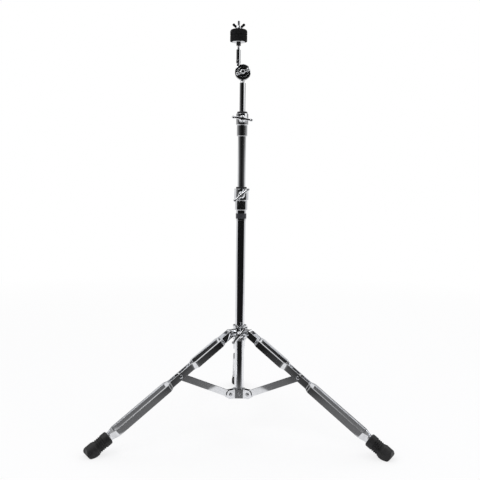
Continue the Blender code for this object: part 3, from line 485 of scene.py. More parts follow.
def arm_profile(half):
    """Give the section of the two arms of a wing bolt, as one spindle with a ball at each end."""
    sizes = settings().wings
    centre = half - sizes.ball
    ball = [(0, half)] + arc((0, centre), sizes.ball, 78, -44, 12)
    steps = 8
    inner = centre - sizes.ball * 1.15
    shaft = []
    for index in range(1, steps + 1):
        part = index / steps
        height = inner * (1 - part)
        shaft.append((sizes.neck + (sizes.middle - sizes.neck) * part ** 1.6, height))
    upper = ball + [(sizes.neck, inner)] + shaft
    return upper + [(radius, -height) for radius, height in reversed(upper[:-1])]


def wing_shapes(matrix, tip, back, front, arm, boss, half, roll, shank):
    """Give the boss, shank and arms of a wing bolt whose Z points to the front."""
    long = front - back
    edge = 0.0008
    profile = [(0, front), (boss * 0.52, front), (boss * 0.60, front - edge / 2),
               (boss * 0.70, front - long * 0.12), (boss * 0.97, front - long * 0.38),
               (boss, front - long * 0.5), (boss, back + edge), (boss - edge, back),
               (shank, back), (shank, tip), (0, tip)]
    lay = (matrix @ Matrix.Translation((0, 0, arm)) @ Matrix.Rotation(roll, 4, "Z")
           @ Matrix.Rotation(QUARTER, 4, "Y"))
    return [lathe(profile, matrix, SMALL), lathe(arm_profile(half), lay, 32)]


class STAND_OT_wing_bolts(bpy.types.Operator):
    """Model the wing bolts of the two clamps and of the hub"""

    bl_idname = "stand.wing_bolts"
    bl_label = "Wing Bolts"

    def execute(self, context):
        wings = context.scene.stand.wings
        boss_length = 0.0125
        arm_place = 0.009
        for node, boss, half, roll in (("lower_wing_bolt", 0.0095, 0.0270, wings.lower_roll),
                                       ("upper_wing_bolt", 0.0090, 0.0286, wings.upper_roll),
                                       ("hub_wing_bolt", 0.0095, 0.0310, wings.hub_roll)):
            low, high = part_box(node)
            matrix = front_frame((low.z + high.z) / 2)
            front = COLUMN.y - low.y
            back = front - boss_length
            tip = COLUMN.y - high.y
            shapes = wing_shapes(matrix, tip, back, front, back + arm_place, boss, half, roll, BOLT_SHANK)
            finish_piece(node, shapes, "chrome")
        return {"FINISHED"}


class STAND_OT_hub(bpy.types.Operator):
    """Model the sliding hub, its liner and its pins"""

    bl_idname = "stand.hub"
    bl_label = "Leg Hub"

    def execute(self, context):
        sizes = context.scene.stand.tripod
        edge = context.scene.stand.column.edge
        low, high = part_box("leg_hub")
        collar = 0.018
        proud = 0.0008
        rim = collar + proud
        ring = 0.004
        bore = radius_of("hub_sleeve") + GAP
        profile = [(bore, high.z), (rim - edge, high.z), (rim, high.z - edge), (rim, high.z - ring),
                   (collar, high.z - ring - proud), (collar, low.z + ring + proud), (rim, low.z + ring),
                   (rim, low.z + edge), (rim - edge, low.z), (bore, low.z)]
        shapes = [lathe(profile, ring=True)]
        front = COLUMN.y - low.y
        boss = 0.0085
        foot = bore + 0.001
        section = [(boss - edge, front), (boss, front - edge), (boss, foot), (BOLT_HOLE, foot),
                   (BOLT_HOLE, front)]
        shapes.append(lathe(section, front_frame(sizes.hub_height), SMALL, True))
        start = bore + proud
        root = 0.0095
        end = 0.0085
        neck = sizes.pivot - 0.005
        lug_width = 0.016
        lug = [(start, root), (start, -root), (neck, -end)]
        lug += arc((sizes.pivot, 0), end, -90, 90, 24) + [(neck, end)]
        for leg in LEGS:
            shapes.append(plate(lug, lug_width, upright_frame(leg, sizes.hub_height)))
        finish_piece("leg_hub", shapes, "chrome", 0.0005)
        low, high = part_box("hub_sleeve")
        outside = radius_of("hub_sleeve")
        liner_wall = 0.0012
        liner = ring_section(outside, outside - liner_wall, low.z, high.z)
        finish_piece("hub_sleeve", [lathe(liner, ring=True)], "nylon", 0.0002)
        pin_half = 0.0105
        for leg in LEGS:
            side = leg_frame(leg) @ Matrix.Rotation(QUARTER, 4, "X")
            finish_piece(leg + "_hub_pin", [lathe(pin_profile(pin_half), side, 36)], "steel")
        return {"FINISHED"}


def head_profile(base, up):
    """Give the section of a domed pin head with a dimple, from its middle outwards."""
    sizes = settings().tripod
    head = sizes.pin_head
    steps = ((0.0, 0.0009), (0.28, 0.0009), (0.40, 0.0016), (0.72, 0.0015), (0.92, 0.0010), (1.0, 0.0004),
             (1.0, 0.0))
    return [(head * part, base + up * rise) for part, rise in steps]


def pin_profile(half):
    """Give the section of a pin with a head past each end of its half length."""
    sizes = settings().tripod
    base = half + GAP
    shank = [(sizes.pin, base), (sizes.pin, -base)]
    return head_profile(base, 1) + shank + head_profile(-base, -1)[::-1]


def smooth_step(start, end, value):
    """Give an even S curve from 0 to 1 between two places."""
    part = max(0.0, min(1.0, (value - start) / (end - start)))
    return part * part * (3 - 2 * part)


def strap_place(along):
    """Give the strap's outer offset and lip at a place along it."""
    offset = 0.0105
    lip = 0.002
    for start, end, wide, deep in STRAP_JOGS:
        part = smooth_step(start, end, along)
        offset += (wide - offset) * part
        lip += (deep - lip) * part
    return offset, lip


def strap_stations():
    """Give the places along a strap, close together at its heel and at its jogs."""
    heel = settings().tripod.half_height
    places = [-heel * math.cos(math.radians(turn)) for turn in (8, 22, 38, 55, 72)]
    places += [0.0, 0.02]
    for start, end, *_ in STRAP_JOGS:
        places += [start + (end - start) * index / 8 for index in range(9)]
    return places + [0.43, settings().tripod.strap_end]


def strap_section(along, side):
    """Give the five points of a strap's section at a place along it."""
    half = settings().tripod.half_height
    offset, lip = strap_place(along)
    tall = half
    if along < 0:
        tall = math.sqrt(max(0.0, half * half - along * along))
    inner = side * (offset - lip)
    outer = side * offset
    return [(along, inner, tall), (along, outer, tall), (along, outer, 0.0), (along, outer, -tall),
            (along, inner, -tall)]


class STAND_OT_straps(bpy.types.Operator):
    """Model the pressed straps of the legs and their rivets"""

    bl_idname = "stand.straps"
    bl_label = "Leg Straps"

    def execute(self, context):
        sizes = context.scene.stand.tripod
        for leg, sides in STRAP_SIDES.items():
            for side, where in sides.items():
                self.add_strap(f"{leg}_leg_{where}_strap", leg, side, sizes)
                self.add_rivet(f"{leg}_leg_{where}_rivet", leg, side, sizes)
        return {"FINISHED"}

    def add_strap(self, node, leg, side, sizes):
        """Pull the section along the leg, then give the sheet its wall and its rounded bends."""
        shape = bmesh.new()
        places = strap_stations()
        row = [shape.verts.new(point) for point in strap_section(places[0], side)]
        edges = [shape.edges.new(pair) for pair in zip(row, row[1:])]
        for along in places[1:]:
            grown = bmesh.ops.extrude_edge_only(shape, edges=edges)["geom"]
            edges = [item for item in grown if isinstance(item, bmesh.types.BMEdge)]
            chain = self.in_order(edges)
            for vert, point in zip(chain, strap_section(along, side)):
                vert.co = point
        bmesh.ops.recalc_face_normals(shape, faces=shape.faces)
        outward = [face for face in shape.faces if abs(face.normal.y) > 0.7 and face.normal.y * side < 0]
        if outward:
            bmesh.ops.reverse_faces(shape, faces=shape.faces)
        bmesh.ops.transform(shape, matrix=leg_frame(leg), verts=shape.verts)
        made = finish_piece(node, [shape], "chrome")
        wall = made.modifiers.new("wall", "SOLIDIFY")
        wall.thickness = sizes.strap_wall
        wall.offset = -1.0
        wall.use_even_offset = True
        rounding = made.modifiers.new("rounding", "BEVEL")
        rounding.width = 0.0007
        rounding.segments = 3
        rounding.limit_method = "ANGLE"
        rounding.angle_limit = math.radians(40.0)
        rounding.harden_normals = True

    def in_order(self, edges):
        """Put the vertices of a chain in the order of the section, from its upper lip down."""
        verts = {vert for edge in edges for vert in edge.verts}
        ends = [vert for vert in verts if sum(vert in edge.verts for edge in edges) == 1]
        start = max(ends, key=lambda vert: vert.co.z)
        chain = [start]
        while len(chain) < len(verts):
            for edge in edges:
                other = edge.other_vert(chain[-1]) if chain[-1] in edge.verts else None
                if other and other not in chain:
                    chain.append(other)
                    break
        return chain

    def add_rivet(self, node, leg, side, sizes):
        """Add the rivet of one strap."""
        outer = 0.0075
        inner = outer - sizes.strap_wall
        profile = head_profile(outer + GAP, 1)
        profile += [(sizes.pin, outer + GAP), (sizes.pin, inner), (0, inner)]
        place = (leg_frame(leg) @ Matrix.Translation((sizes.stay_joint, 0, 0))
                 @ Matrix.Rotation(-QUARTER * side, 4, "X"))
        finish_piece(node, [lathe(profile, place, 36)], "steel")


class STAND_OT_feet(bpy.types.Operator):
    """Model the ribbed rubber feet"""

    bl_idname = "stand.feet"
    bl_label = "Feet"

    def execute(self, context):
        for leg in LEGS:
            self.add_foot(leg)
        return {"FINISHED"}

    def add_foot(self, leg):
        """Turn the foot about its leg, then cut it flat at its sole and at its toe."""
        body = 0.017
        block = 0.0185
        end = 0.484
        block_start = 0.4475
        rib_start = 0.423
        rib_pitch = 0.005
        groove_radius = 0.0019
        mouth_round = 0.0042
        mouth_start = 0.4060
        mouth_bore = 0.0118
        mouth_floor = 0.4085
        profile = [(0, end), (block, end), (block, block_start), (block - 0.0006, block_start - 0.0013),
                   (body, block_start - 0.0023)]
        for index in reversed(range(4)):
            start = rib_start + index * rib_pitch
            groove = arc((body + 0.0002, start + 0.002), groove_radius, 75, 285, 9)
            profile += [(body, start + 0.0042)] + [(min(radius, body), height) for radius, height in groove]
        profile += [(body, rib_start - 0.0015)]
        profile += arc((body - mouth_round, mouth_start + mouth_round), mouth_round, 0, -90, 9)
        profile += [(mouth_bore, mouth_start), (mouth_bore, mouth_floor), (0, mouth_floor)]
        lay = leg_frame(leg) @ Matrix.Rotation(QUARTER, 4, "Y")
        shape = lathe(profile, lay, ROUND)
        out = Vector((math.cos(math.radians(LEGS[leg])), math.sin(math.radians(LEGS[leg])), 0))
        toe = 0.430
        rounding = 0.012
        centre = Vector((COLUMN.x, COLUMN.y, rounding)) + out * (toe - rounding)
        for turn in (0, 90, 22, 45, 68):
            normal = out * math.sin(math.radians(turn)) - Vector((0, 0, math.cos(math.radians(turn))))
            point = centre + normal * rounding
            bmesh.ops.bisect_plane(shape, geom=shape.verts[:] + shape.edges[:] + shape.faces[:], dist=MERGE,
                                   plane_co=point, plane_no=normal, clear_outer=True)
            rim = [edge for edge in shape.edges if edge.is_boundary]
            bmesh.ops.edgeloop_fill(shape, edges=rim)
        bmesh.ops.recalc_face_normals(shape, faces=shape.faces)
        finish_piece(leg + "_foot", [shape], "rubber", 0.0009, 3, 38.0)


class STAND_OT_stays(bpy.types.Operator):
    """Model the channel stays"""

    bl_idname = "stand.stays"
    bl_label = "Stays"

    def execute(self, context):
        sizes = context.scene.stand.tripod
        run = sizes.stay_joint * math.cos(sizes.slope)
        rise = sizes.hub_height - sizes.stay_joint * math.sin(sizes.slope) - sizes.spider_height
        long = math.hypot(run, rise)
        slope = math.atan2(rise, run)
        half = 0.009
        wall = 0.0015
        wide = 0.010
        pin_half = 0.0075
        side = arc((long, 0), half, -90, 90, 24) + arc((0, 0), half, 90, 270, 24)
        outer = arc((0, 0), half, 158, 90, 12) + arc((long, 0), half, 90, 22, 12)
        inner = arc((long, 0), half - wall, 22, 90, 12) + arc((0, 0), half - wall, 90, 158, 12)
        for leg in LEGS:
            base = (AXIS @ Matrix.Rotation(math.radians(LEGS[leg]), 4, "Z")
                    @ Matrix.Translation((sizes.pivot, 0, sizes.spider_height))
                    @ Matrix.Rotation(-slope, 4, "Y"))
            upright = base @ Matrix.Rotation(QUARTER, 4, "X")
            shapes = [plate(outer + inner, wide, upright)]
            for across in (-1, 1):
                shift = Matrix.Translation((0, 0, across * (wide - wall) / 2))
                shapes.append(plate(side, wall, upright @ shift))
            finish_piece(leg + "_stay", shapes, "chrome", 0.0004)
            finish_piece(leg + "_spider_pin", [lathe(pin_profile(pin_half), upright, 36)], "steel")
        return {"FINISHED"}


class STAND_OT_spider(bpy.types.Operator):
    """Model the spider and its screw"""

    bl_idname = "stand.spider"
    bl_label = "Spider"

    def execute(self, context):
        sizes = context.scene.stand.tripod
        low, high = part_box("spider")
        shapes = [self.collar(low.z, high.z, radius_of("lower_tube") + GAP)]
        bottom = low.z - sizes.spider_height + GAP
        top = high.z - sizes.spider_height - GAP
        start = 0.0155
        cheek_end = 0.0122
        cheek_wall = 0.002
        cheek_middle = 0.0065
        cheek = [(start, top), (start, bottom)] + arc((sizes.pivot, 0), cheek_end, -80, 60, 24)
        for leg in LEGS:
            for side in (-1, 1):
                shift = Matrix.Translation((0, 0, side * cheek_middle))
                shapes.append(plate(cheek, cheek_wall, upright_frame(leg, sizes.spider_height) @ shift))
        finish_piece("spider", shapes, "chrome", 0.0005)
        low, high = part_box("spider_screw")
        head = radius_of("spider_screw")
        front = COLUMN.y - low.y
        tip = COLUMN.y - high.y
        edge = 0.0006
        recess = 0.0012
        under = front - 0.002
        shank = 0.0026
        profile = [(0, front - recess), (head * 0.5, front - recess), (head * 0.5, front),
                   (head - edge, front), (head, front - edge), (head, under), (shank, under), (shank, tip),
                   (0, tip)]
        finish_piece("spider_screw", [lathe(profile, front_frame(sizes.spider_height), 36)], "steel")
        return {"FINISHED"}

    def collar(self, low, high, bore):
        """Bridge six-sided and round loops into the bored collar."""
        shape = bmesh.new()
        loops = {}
        for level in (low, high):
            corners = []
            for turn in (0.0, 120.0, 240.0):
                facet = Matrix.Rotation(math.radians(turn), 2)
                corners += [facet @ Vector((across, -0.015)) for across in (-0.011, 0.011)]
            verts = [shape.verts.new((corner.x, corner.y, level)) for corner in corners]
            loops["outer", level] = [shape.edges.new((verts[index - 1], verts[index])) for index in range(6)]
            ring = bmesh.ops.create_circle(shape, cap_ends=False, segments=SMALL, radius=bore,
                                           matrix=Matrix.Translation((0, 0, level)))["verts"]
            loops["inner", level] = list({edge for vert in ring for edge in vert.link_edges})
        pairs = ((("outer", low), ("outer", high)), (("inner", low), ("inner", high)),
                 (("outer", high), ("inner", high)), (("outer", low), ("inner", low)))
        for first, second in pairs:
            bmesh.ops.bridge_loops(shape, edges=loops[first] + loops[second])
        bmesh.ops.recalc_face_normals(shape, faces=shape.faces)
        bmesh.ops.transform(shape, matrix=AXIS, verts=shape.verts)
        return shape


class STAND_OT_tilter(bpy.types.Operator):
    """Model the tilter: base, washer, head, wing bolt and nut"""

    bl_idname = "stand.tilter"
    bl_label = "Tilter"

    def execute(self, context):
        base_low, base_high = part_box("tilter_base")
        radius = radius_of("tilter_base")
        height = base_high.z - radius
        matrix = front_frame(height)
        base_back = COLUMN.y - base_high.y
        head_low, head_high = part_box("tilter_head")
        front = COLUMN.y - head_low.y
        back = COLUMN.y - head_high.y
        hole = 0.0033
        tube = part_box("upper_tube")[1].z
        spigot = radius_of("upper_tube") - 0.0015
        disc_low = height - radius
        stalk = 0.0055
        flare = 0.0063
        neck = [(0, disc_low + 0.0004), (stalk, disc_low + 0.0004), (stalk, tube + 0.0022),
                (flare, tube + 0.0004), (spigot, tube + GAP), (spigot, base_low.z), (0, base_low.z)]
        base = [lathe(self.disc(radius, base_back, 0.001, hole), matrix, ROUND, True), lathe(neck)]
        block = [(-0.005, -0.0062), (0.005, -0.0062), (0.005, 0.011), (-0.005, 0.011)]
        lift = AXIS @ Matrix.Translation((0, 0.0029, disc_low)) @ Matrix.Rotation(QUARTER, 4, "X")
        base.append(plate(block, 0.0052, lift))
        finish_piece("tilter_base", base, "chrome", 0.0005)
        washer = radius_of("tilter_washer")
        section = ring_section(washer, hole, 0.001 + GAP, back - GAP)
        finish_piece("tilter_washer", [lathe(section, matrix, ROUND, True)], "nylon", 0.0001)
        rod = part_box("cymbal_rod")
        centre = (rod[0] + rod[1]) / 2
        boss = (front - back) / 2 - GAP / 2
        wide = 0.0062
        edge = 0.0006
        socket = 0.0038
        step = height + radius + 0.0012
        foot = height - 0.004
        stem = [(socket, head_high.z), (wide - edge, head_high.z), (wide, head_high.z - edge),
                (wide, step + 0.0008), (boss, step), (boss, foot), (socket, foot)]
        upright = Matrix.Translation((centre.x, centre.y, 0))
        head = [lathe(self.disc(radius, back, front, hole), matrix, ROUND, True),
                lathe(stem, upright, SMALL, True)]
        finish_piece("tilter_head", head, "chrome", 0.0005)
        wing_low, wing_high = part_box("tilter_wing_bolt")
        wings = context.scene.stand.wings
        shapes = wing_shapes(matrix, COLUMN.y - wing_high.y, front + GAP, COLUMN.y - wing_low.y,
                             front + 0.006, 0.007, 0.020, wings.tilter_roll, 0.003)
        finish_piece("tilter_wing_bolt", shapes, "chrome")
        nut_low, nut_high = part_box("tilter_nut")
        thick = nut_high.y - nut_low.y
        middle = COLUMN.y - (nut_high.y + nut_low.y) / 2
        outline = arc((0, 0), 0.0062, 0, 300, 6)
        nut = plate(outline, thick, matrix @ Matrix.Translation((0, 0, middle)))
        finish_piece("tilter_nut", [nut], "steel", 0.0005)
        return {"FINISHED"}

    def disc(self, radius, back, front, hole):
        """Give the section of a bored disc with a raised rim and a fine groove."""
        groove = front - 0.0004
        edge = 0.0012
        return [(hole, front), (radius * 0.62, front), (radius * 0.64, groove), (radius * 0.70, groove),
                (radius * 0.72, front), (radius - 0.0016, front), (radius, front - edge),
                (radius, back + edge), (radius - edge, back), (hole, back)]


def rod_frame():
    """Give the frame of the cymbal rod and of what sits on it."""
    low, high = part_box("cymbal_rod")
    return Matrix.Translation(((low.x + high.x) / 2, (low.y + high.y) / 2, 0))


class STAND_OT_rod(bpy.types.Operator):
    """Model the cymbal rod with its thread, the seat sleeve and the washers"""

    bl_idname = "stand.rod"
    bl_label = "Rod and Washers"

    def execute(self, context):
        low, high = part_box("cymbal_rod")
        shank = radius_of("cymbal_rod")
        thread = 0.0034
        deep = 0.00045
        pitch = 0.0011
        shoulder = 1.031
        profile = [(0, high.z), (thread - 0.0009, high.z), (thread - deep, high.z - 0.0006)]
        chamfer = 0.0008
        first = high.z - chamfer
        spigot = 0.0035
        seat = 1.0023
        for index in range(int((first - shoulder) / pitch)):
            top = first - index * pitch
            profile += [(thread, top - pitch * 0.35), (thread, top - pitch * 0.55)]
            profile += [(thread - deep, top - pitch)]
        profile += [(thread - deep, shoulder + 0.0004), (shank - chamfer, shoulder),
                    (shank, shoulder - chamfer), (shank, seat), (spigot, seat), (spigot, low.z), (0, low.z)]
        finish_piece("cymbal_rod", [lathe(profile, rod_frame(), SMALL)], "chrome")
        low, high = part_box("seat_sleeve")
        outside = radius_of("seat_sleeve")
        tube = 0.0052
        bore = thread + GAP
        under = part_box("cup_washer")[0].z - GAP
        edge = 0.0012
        profile = [(tube, high.z), (tube, under), (outside, under), (outside, low.z + edge),
                   (outside - edge, low.z), (bore, low.z), (bore, high.z)]
        finish_piece("seat_sleeve", [lathe(profile, rod_frame(), SMALL, True)], "nylon", 0.0003)
        for node, bore in (("cup_washer", 0.0055), ("top_washer", 0.0037)):
            low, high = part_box(node)
            outside = radius_of(node)
            dish = (high.z - low.z) * 0.6
            profile = [(outside, high.z), (outside, low.z + dish), (outside - dish, low.z), (bore, low.z),
                       (bore, high.z)]
            finish_piece(node, [lathe(profile, rod_frame(), ROUND, True)], "chrome", 0.0003)
        return {"FINISHED"}


class STAND_OT_felts(bpy.types.Operator):
    """Model the two felts with their soft, uneven faces"""

    bl_idname = "stand.felts"
    bl_label = "Felts"

    def execute(self, context):
        for node, rounding in (("lower_felt", 0.0016), ("upper_felt", 0.0065)):
            low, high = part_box(node)
            outside = radius_of(node) - 0.0002
            top = high.z - 0.0001
            bottom = low.z + 0.0001
            bore = 0.0057
            profile = [(bore + (outside - rounding - bore) * index / 8, top) for index in range(8)]
            profile += arc((outside - rounding, top - rounding), rounding, 90, 0, 12)
            under = 0.0014
            side = top - rounding - bottom - under
            profile += [(outside, top - rounding - side * index / 6) for index in range(1, 6)]
            profile += arc((outside - under, bottom + under), under, 0, -90, 6)
            floor = outside - under - bore
            profile += [(bore + floor * index / 8, bottom) for index in reversed(range(8))]
            shape = lathe(profile, rod_frame(), 128, True)
            for vert in shape.verts:
                fuzz = noise.noise(vert.co * 420.0) + 0.5 * noise.noise(vert.co * 1100.0)
                vert.co -= vert.normal * max(0.0, fuzz) * 0.00028
            shape.normal_update()
            made = finish_piece(node, [shape], "felt", sharp=60.0)
        return {"FINISHED"}


class STAND_OT_wing_nut(bpy.types.Operator):
    """Model the wing nut with its two raised ears"""

    bl_idname = "stand.wing_nut"
    bl_label = "Wing Nut"

    def execute(self, context):
        low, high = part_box("wing_nut")
        body = 0.0075
        tall = 0.0085
        thick = context.scene.stand.wings.ear_thickness
        top = low.z + tall
        bore = 0.0037
        profile = [(bore, top), (body * 0.62, top), (body * 0.74, top - 0.0006),
                   (body * 0.84, low.z + tall * 0.4), (body, low.z + 0.002), (body, low.z), (bore, low.z)]
        round_end = 0.004
        centre = (0.0175 - round_end, high.z - low.z - round_end)
        ear = [(0.0046, 0.001), (body + 0.0004, 0.001)] + arc(centre, round_end, -24, 170, 20)
        ear += [(0.0072, 0.0092), (0.0046, 0.0078)]
        shapes = [lathe(profile, rod_frame(), SMALL, True)]
        for turn in (0.0, math.pi):
            place = (rod_frame() @ Matrix.Translation((0, 0, low.z)) @ Matrix.Rotation(turn, 4, "Z")
                     @ Matrix.Rotation(QUARTER, 4, "X"))
            shapes.append(plate(ear, thick, place))
        finish_piece("wing_nut", shapes, "chrome", 0.0007, 3)
        return {"FINISHED"}


class STAND_OT_stage(bpy.types.Operator):
    """Add the floor, the lamps, the surroundings and the camera"""

    bl_idname = "stand.stage"
    bl_label = "Stage"

    def execute(self, context):
        stage = context.scene.stand.stage
        context.scene.view_settings.view_transform = "Standard"
        self.add_floor(stage)
        self.add_world(context)
        self.add_lamp("key_lamp", (-1.3, -1.2, 2.2), 1.4, 15.0)
        self.add_lamp("fill_lamp", (1.6, -0.6, 1.6), 1.4, 7.0)
        self.add_lamp("rim_lamp", (0.3, 1.6, 1.9), 1.2, 7.0)
        self.add_camera(context, stage)
        return {"FINISHED"}

    def add_floor(self, stage):
        """Add a pale floor that keeps the stand's shadow, and that shows glossy rays a painted dark patch in
        front of the stand, as a painted reflection in the metal.
        """
        mesh = bpy.data.meshes.new("floor")
        shape = bmesh.new()
        bmesh.ops.create_grid(shape, x_segments=1, y_segments=1, size=30.0,
                              matrix=Matrix.Translation((0, 0, -0.0004)))
        shape.to_mesh(mesh)
        shape.free()
        made = bpy.data.objects.new("floor", mesh)
        bpy.context.scene.collection.objects.link(made)
        material = bpy.data.materials.new("floor_paper")
        material.use_nodes = True
        nodes, links = material.node_tree.nodes, material.node_tree.links
        shader = nodes["Principled BSDF"]
        shader.inputs["Roughness"].default_value = 0.9
        path = nodes.new("ShaderNodeLightPath")
        place = nodes.new("ShaderNodeTexCoord")
        split = nodes.new("ShaderNodeSeparateXYZ")
        links.new(place.outputs["Object"], split.inputs["Vector"])
        shader.inputs["Specular IOR Level"].default_value = 0.0
        # Painted reflection: in front of the stand the floor's colour for glossy rays is near black, so the
        # chrome reflects a dark patch there
        sheet = self.add_ramp(nodes, links, split.outputs["Y"], COLUMN.y - 1.6, COLUMN.y,
                              ((0.0, 0.01), (0.62, 0.012), (0.72, 0.05), (0.77, 0.13), (0.832, 0.16),
                               (0.838, 0.86), (1.0, 0.88)))
        away = nodes.new("ShaderNodeVectorMath")
        away.operation = "LENGTH"
        links.new(place.outputs["Object"], away.inputs[0])
        haze = self.add_ramp(nodes, links, away.outputs["Value"], 0.6, 3.0, ((0.0, 0.74), (1.0, 1.0)))
        # Glossy rays get the painted dark reflection colour; all other rays get the plain pale floor colour
        floor_with_painted_reflection = nodes.new("ShaderNodeMix")
        floor_with_painted_reflection.data_type = "RGBA"
        floor_with_painted_reflection.inputs[6].default_value = (*stage.floor, 1.0)
        links.new(path.outputs["Is Glossy Ray"], floor_with_painted_reflection.inputs[0])
        links.new(sheet, floor_with_painted_reflection.inputs[7])
        links.new(floor_with_painted_reflection.outputs[2], shader.inputs["Base Color"])
        glow = nodes.new("ShaderNodeEmission")
        glow.inputs["Color"].default_value = (1.0, 1.0, 1.0, 1.0)
        part = nodes.new("ShaderNodeMath")
        part.operation = "MULTIPLY"
        links.new(haze, part.inputs[1])
        mix = nodes.new("ShaderNodeMixShader")
        links.new(path.outputs["Is Camera Ray"], part.inputs[0])
        links.new(part.outputs["Value"], mix.inputs["Fac"])
        links.new(shader.outputs["BSDF"], mix.inputs[1])
        links.new(glow.outputs["Emission"], mix.inputs[2])
        links.new(mix.outputs["Shader"], nodes["Material Output"].inputs["Surface"])
        mesh.materials.append(material)

    def add_world(self, context):
        """Add surroundings with a dark front, pale sides and a bright ceiling for the metal to show."""
        world = bpy.data.worlds.new("studio")
        context.scene.world = world
        world.use_nodes = True
        nodes, links = world.node_tree.nodes, world.node_tree.links
        place = nodes.new("ShaderNodeTexCoord")
        split = nodes.new("ShaderNodeSeparateXYZ")
        back = nodes.new("ShaderNodeMath")
        back.operation = "MULTIPLY"
        back.inputs[1].default_value = -1.0
        turn = nodes.new("ShaderNodeMath")
        turn.operation = "ARCTAN2"
        links.new(place.outputs["Generated"], split.inputs["Vector"])
        links.new(split.outputs["Y"], back.inputs[0])
        links.new(split.outputs["X"], turn.inputs[0])
        links.new(back.outputs["Value"], turn.inputs[1])
        walls = self.add_ramp(nodes, links, turn.outputs["Value"], -math.pi, math.pi,
                              ((0.0, 0.75), (0.12, 0.95), (0.19, 0.95), (0.24, 0.45), (0.29, 0.22),
                               (0.36, 0.07), (0.44, 0.02), (0.53, 0.015), (0.60, 0.05), (0.67, 0.13),
                               (0.73, 0.28), (0.77, 0.80), (0.86, 0.95), (1.0, 0.75)))
        rise = self.add_ramp(nodes, links, split.outputs["Z"], -0.1, 0.9,
                             ((0.0, 1.0), (0.12, 0.9), (0.17, 0.45), (0.22, 0.30), (0.55, 0.22), (1.0, 0.2)))
        ceiling = self.add_ramp(nodes, links, split.outputs["Z"], -0.1, 0.9,
                                ((0.0, 0.0), (0.50, 0.0), (0.60, 0.85), (1.0, 0.95)))
        behind = self.add_ramp(nodes, links, split.outputs["Y"], -0.6, 0.4,
                               ((0.0, 0.03), (0.35, 0.06), (0.6, 0.8), (1.0, 1.0)))
        low = self.add_product(nodes, links, walls, rise)
        high = self.add_product(nodes, links, ceiling, behind)
        room = nodes.new("ShaderNodeMath")
        room.operation = "MAXIMUM"
        links.new(low, room.inputs[0])
        links.new(high, room.inputs[1])
        plain = nodes.new("ShaderNodeMix")
        plain.data_type = "RGBA"
        plain.inputs[6].default_value = (0.80, 0.80, 0.81, 1.0)
        path = nodes.new("ShaderNodeLightPath")
        shader = nodes["Background"]
        links.new(path.outputs["Is Glossy Ray"], plain.inputs[0])
        links.new(room.outputs["Value"], plain.inputs[7])
        bright = nodes.new("ShaderNodeMix")
        bright.data_type = "RGBA"
        bright.inputs[7].default_value = (1.0, 1.0, 1.0, 1.0)
        links.new(path.outputs["Is Camera Ray"], bright.inputs[0])
        links.new(plain.outputs[2], bright.inputs[6])
        links.new(bright.outputs[2], shader.inputs["Color"])
        shader.inputs["Strength"].default_value = 1.0

    def add_product(self, nodes, links, first, second):
        """Add a product of two values, and give its output."""
        product = nodes.new("ShaderNodeMath")
        product.operation = "MULTIPLY"
        links.new(first, product.inputs[0])
        links.new(second, product.inputs[1])
        return product.outputs["Value"]

    def add_ramp(self, nodes, links, value, start, end, levels):
        """Add a ramp of grey levels over a stretch of a value, and give its output."""
        span = nodes.new("ShaderNodeMapRange")
        span.inputs["From Min"].default_value = start
        span.inputs["From Max"].default_value = end
        ramp = nodes.new("ShaderNodeValToRGB")
        stops = ramp.color_ramp.elements
        stops[0].position = levels[0][0]
        stops[1].position = levels[-1][0]
        for place, _ in levels[1:-1]:
            stops.new(place)
        for stop, (_, level) in zip(stops, levels):
            stop.color = (level, level, level, 1.0)
        links.new(value, span.inputs["Value"])
        links.new(span.outputs["Result"], ramp.inputs["Fac"])
        return ramp.outputs["Color"]

    def add_lamp(self, name, place, size, power):
        """Add one soft lamp that points at the middle of the stand."""
        lamp = bpy.data.lights.new(name, "AREA")
        lamp.size = size
        lamp.energy = power
        made = bpy.data.objects.new(name, lamp)
        bpy.context.scene.collection.objects.link(made)
        made.location = place
        aim = Vector((COLUMN.x, COLUMN.y, 0.5)) - Vector(place)
        made.rotation_euler = aim.to_track_quat("-Z", "Y").to_euler()

    def add_camera(self, context, stage):
        """Add the camera at the picture's viewpoint."""
        data = bpy.data.cameras.new("camera")
        data.lens = stage.lens
        data.sensor_width = 36.0
        data.shift_y = stage.shift
        made = bpy.data.objects.new("camera", data)
        context.scene.collection.objects.link(made)
        around = AXIS @ Matrix.Rotation(-stage.orbit, 4, "Z")
        stand = Matrix.Translation((-stage.aside, -stage.distance, stage.camera_height))
        made.matrix_world = (around @ stand @ Matrix.Rotation(QUARTER, 4, "X")
                             @ Matrix.Rotation(stage.roll, 4, "Z"))
        context.scene.camera = made


class STAND_PT_panel(bpy.types.Panel):
    """List the steps and the sizes of the stand"""

    bl_idname = "STAND_PT_panel"
    bl_label = "Cymbal Stand"
    bl_space_type = "VIEW_3D"
    bl_region_type = "UI"
    bl_category = "Stand"

    def draw(self, context):
        layout = self.layout
        for step in STEPS:
            layout.operator(step.bl_idname)
        for group in ("column", "wings", "tripod", "finish", "stage"):
            values = getattr(context.scene.stand, group)
            box = layout.box()
            for name in values.__annotations__:
                box.prop(values, name)


STEPS = (STAND_OT_stage, STAND_OT_tubes, STAND_OT_receivers, STAND_OT_bushes, STAND_OT_wing_bolts,
         STAND_OT_hub, STAND_OT_straps, STAND_OT_feet, STAND_OT_stays, STAND_OT_spider, STAND_OT_tilter,
         STAND_OT_rod, STAND_OT_felts, STAND_OT_wing_nut)
CLASSES = (StandColumnSizes, StandWingSizes, StandTripodSizes, StandFinish, StandStage, StandSettings,
           *STEPS, STAND_PT_panel)


def register():
    """Register the classes and the scene's settings."""
    for item in CLASSES:
        bpy.utils.register_class(item)
    bpy.types.Scene.stand = bpy.props.PointerProperty(type=StandSettings)


def unregister():
    """Remove the classes and the scene's settings."""
    del bpy.types.Scene.stand
    for item in reversed(CLASSES):
        bpy.utils.unregister_class(item)


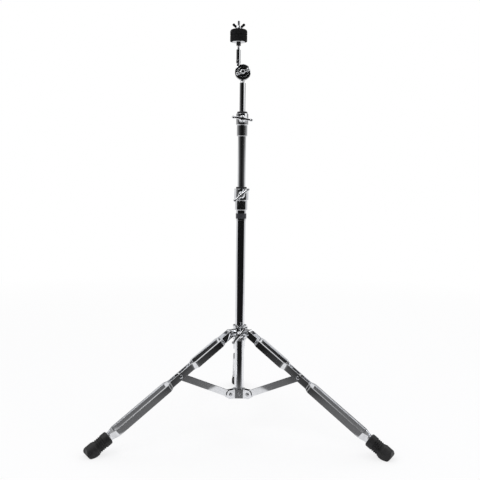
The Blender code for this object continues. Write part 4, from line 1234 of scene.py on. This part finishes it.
def main():
    """Model every piece."""
    register()
    bpy.ops.stand.stage()
    bpy.ops.stand.tubes()
    bpy.ops.stand.receivers()
    bpy.ops.stand.bushes()
    bpy.ops.stand.wing_bolts()
    bpy.ops.stand.hub()
    bpy.ops.stand.straps()
    bpy.ops.stand.feet()
    bpy.ops.stand.stays()
    bpy.ops.stand.spider()
    bpy.ops.stand.tilter()
    bpy.ops.stand.rod()
    bpy.ops.stand.felts()
    bpy.ops.stand.wing_nut()


if __name__ == "__main__":
    main()
